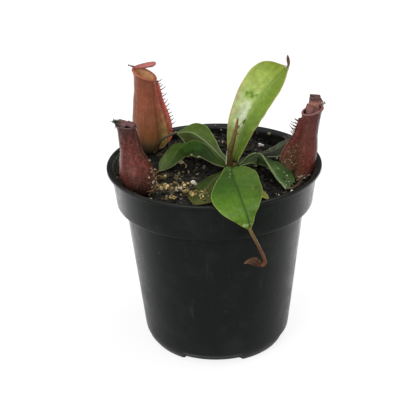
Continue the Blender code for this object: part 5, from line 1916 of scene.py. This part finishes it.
def make_rootstock(material):
    """The short woody stem, ringed by old leaf bases."""
    low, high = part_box("rootstock")
    centre = (np.array(low) + np.array(high)) / 2.0 / MM
    rows, around = STEM_GRID
    z = np.linspace(low.z / MM, high.z / MM, rows)
    angle = circle(around)
    radius = np.linspace(*STEM_RADII, rows)[:, None] + 0.18 * np.cos(z * 1.9)[:, None]
    x = centre[0] + radius * np.cos(angle)[None, :]
    y = centre[1] + radius * np.sin(angle)[None, :]
    points = np.stack([x, y, np.repeat(z[:, None], around, 1)], axis=2)
    outward = np.stack([np.cos(angle), np.sin(angle), 0 * angle], axis=1)[None]
    points = points + outward * (0.2 * noise_at(points, 1.2, 77))[..., None]
    faces = capped_faces(rows, around)
    tint = np.broadcast_to(linear(STEM_OLIVE), points.shape)
    stem = make_piece("rootstock_stem", points, faces, material, {"tint": tint})
    place(stem, "stem_bark", "rootstock")


# Stage


def choose_by_ray(tree, thrown, seen):
    """The light thrown on the plant, or the brightness seen by the camera."""
    choice = tree.nodes.new("ShaderNodeMix")
    camera_ray = tree.nodes.new("ShaderNodeLightPath").outputs["Is Camera Ray"]
    tree.links.new(camera_ray, choice.inputs[0])
    tree.links.new(thrown, choice.inputs[2])
    choice.inputs[3].default_value = seen
    return choice.outputs[0]


def add_gradient(tree, vector, side, span):
    """Brightness that rises towards a side, by a span of (from, to, low, high)."""
    towards = tree.nodes.new("ShaderNodeVectorMath")
    towards.operation = "DOT_PRODUCT"
    towards.inputs[1].default_value = unit(np.array(side))
    tree.links.new(vector, towards.inputs[0])
    ramp = tree.nodes.new("ShaderNodeMapRange")
    ramp.interpolation_type = "SMOOTHSTEP"
    tree.links.new(towards.outputs["Value"], ramp.inputs["Value"])
    for key, value in zip(("From Min", "From Max", "To Min", "To Max"), span):
        ramp.inputs[key].default_value = value
    return ramp.outputs[0]


def make_floor():
    """A pale floor that looks white but throws little light up at the pot."""
    m = Recipe("floor")
    m.set(Base_Color=FLOOR_COLOUR, Roughness=0.9, Specular_IOR_Level=0.0)
    thrown = add_gradient(m.tree, m.place, FLOOR_SIDE, FLOOR_RANGE)
    m.set(Emission_Color=WHITE, Emission_Strength=choose_by_ray(m.tree, thrown, FLOOR_GLOW))
    sides = ((-1, -1), (1, -1), (1, 1), (-1, 1))
    corners = [(x * FLOOR_REACH, y * FLOOR_REACH, 0.0) for x, y in sides]
    floor = make_piece("floor", corners, [(0, 1, 2, 3)], m.material, smooth=False)


def make_world():
    """A white backdrop to look at, and soft light that comes from above and in front."""
    world = bpy.data.worlds.new("studio")
    world.use_nodes = True
    tree = world.node_tree
    direction = tree.nodes.new("ShaderNodeTexCoord").outputs["Generated"]
    thrown = add_gradient(tree, direction, SKY_SIDE, SKY_RANGE)
    light = choose_by_ray(tree, thrown, 1.0)
    tree.links.new(light, tree.nodes["Background"].inputs["Strength"])
    tree.nodes["Background"].inputs["Color"].default_value = (*WHITE, 1.0)
    bpy.context.scene.world = world


def add_softbox(name, location, size, power):
    """A square soft light aimed at the plant."""
    light = bpy.data.lights.new(name, "AREA")
    light.shape = "SQUARE"
    light.size = size
    light.energy = power
    item = add_object(name, light)
    item.location = location
    aim = Vector(PLANT) - Vector(location)
    item.rotation_euler = aim.to_track_quat("-Z", "Y").to_euler()


def make_camera():
    """A camera on the photographer's side, 25 degrees above the plant."""
    elevation = math.radians(CAMERA_ELEVATION)
    distance = CAMERA_DISTANCE * MM
    centre = Vector(CAMERA_AIM) * MM
    data = bpy.data.cameras.new("camera")
    data.lens = CAMERA_LENS
    data.sensor_width = CAMERA_SENSOR
    camera = add_object("camera", data)
    back = Vector((0.0, -math.cos(elevation), math.sin(elevation)))
    tilt = Matrix.Rotation(math.radians(90.0) - elevation, 4, "X")
    roll = Matrix.Rotation(math.radians(CAMERA_ROLL), 4, "Z")
    camera.matrix_world = Matrix.Translation(centre + distance * back) @ tilt @ roll
    bpy.context.scene.camera = camera


def main():
    soil = soil_material()
    make_pot()
    make_soil(soil)
    make_crumbs(soil)
    make_litter(soil)
    make_wall_dirt(soil)
    make_vermiculite()
    make_perlite()
    make_bark()
    make_grit(grain_material("grit", 0.8, 0.45, 0.15, 0.25))
    make_rootstock(skin_material("stem_bark", 0.75))
    for index, name in enumerate(LEAVES):
        make_leaf(index, name)
    lip = skin_material("pitcher_lip", 0.4, 0.12)
    hair = skin_material("pitcher_hair", 0.6, 0.15)
    for index, name in enumerate(PITCHERS):
        pitcher = PITCHERS[name]
        skin = pitcher_material(name, **pitcher["skin"])
        make_cup(index, name, skin)
        make_rim(index, name, lip)
        make_wings(index, name, skin, hair)
    make_spurs(hair)
    withered = skin_material("lid_skin", 0.5, 0.2)
    for index, name in enumerate(LIDS):
        make_lid(index, name, withered)
    strand = skin_material("tendril_skin", 0.5)
    for index, name in enumerate(TUBES):
        make_tube(index, name, strand)
    make_floor()
    make_world()
    for softbox in SOFTBOXES:
        add_softbox(*softbox)
    bpy.context.scene.view_settings.view_transform = "Standard"


make_camera()
main()
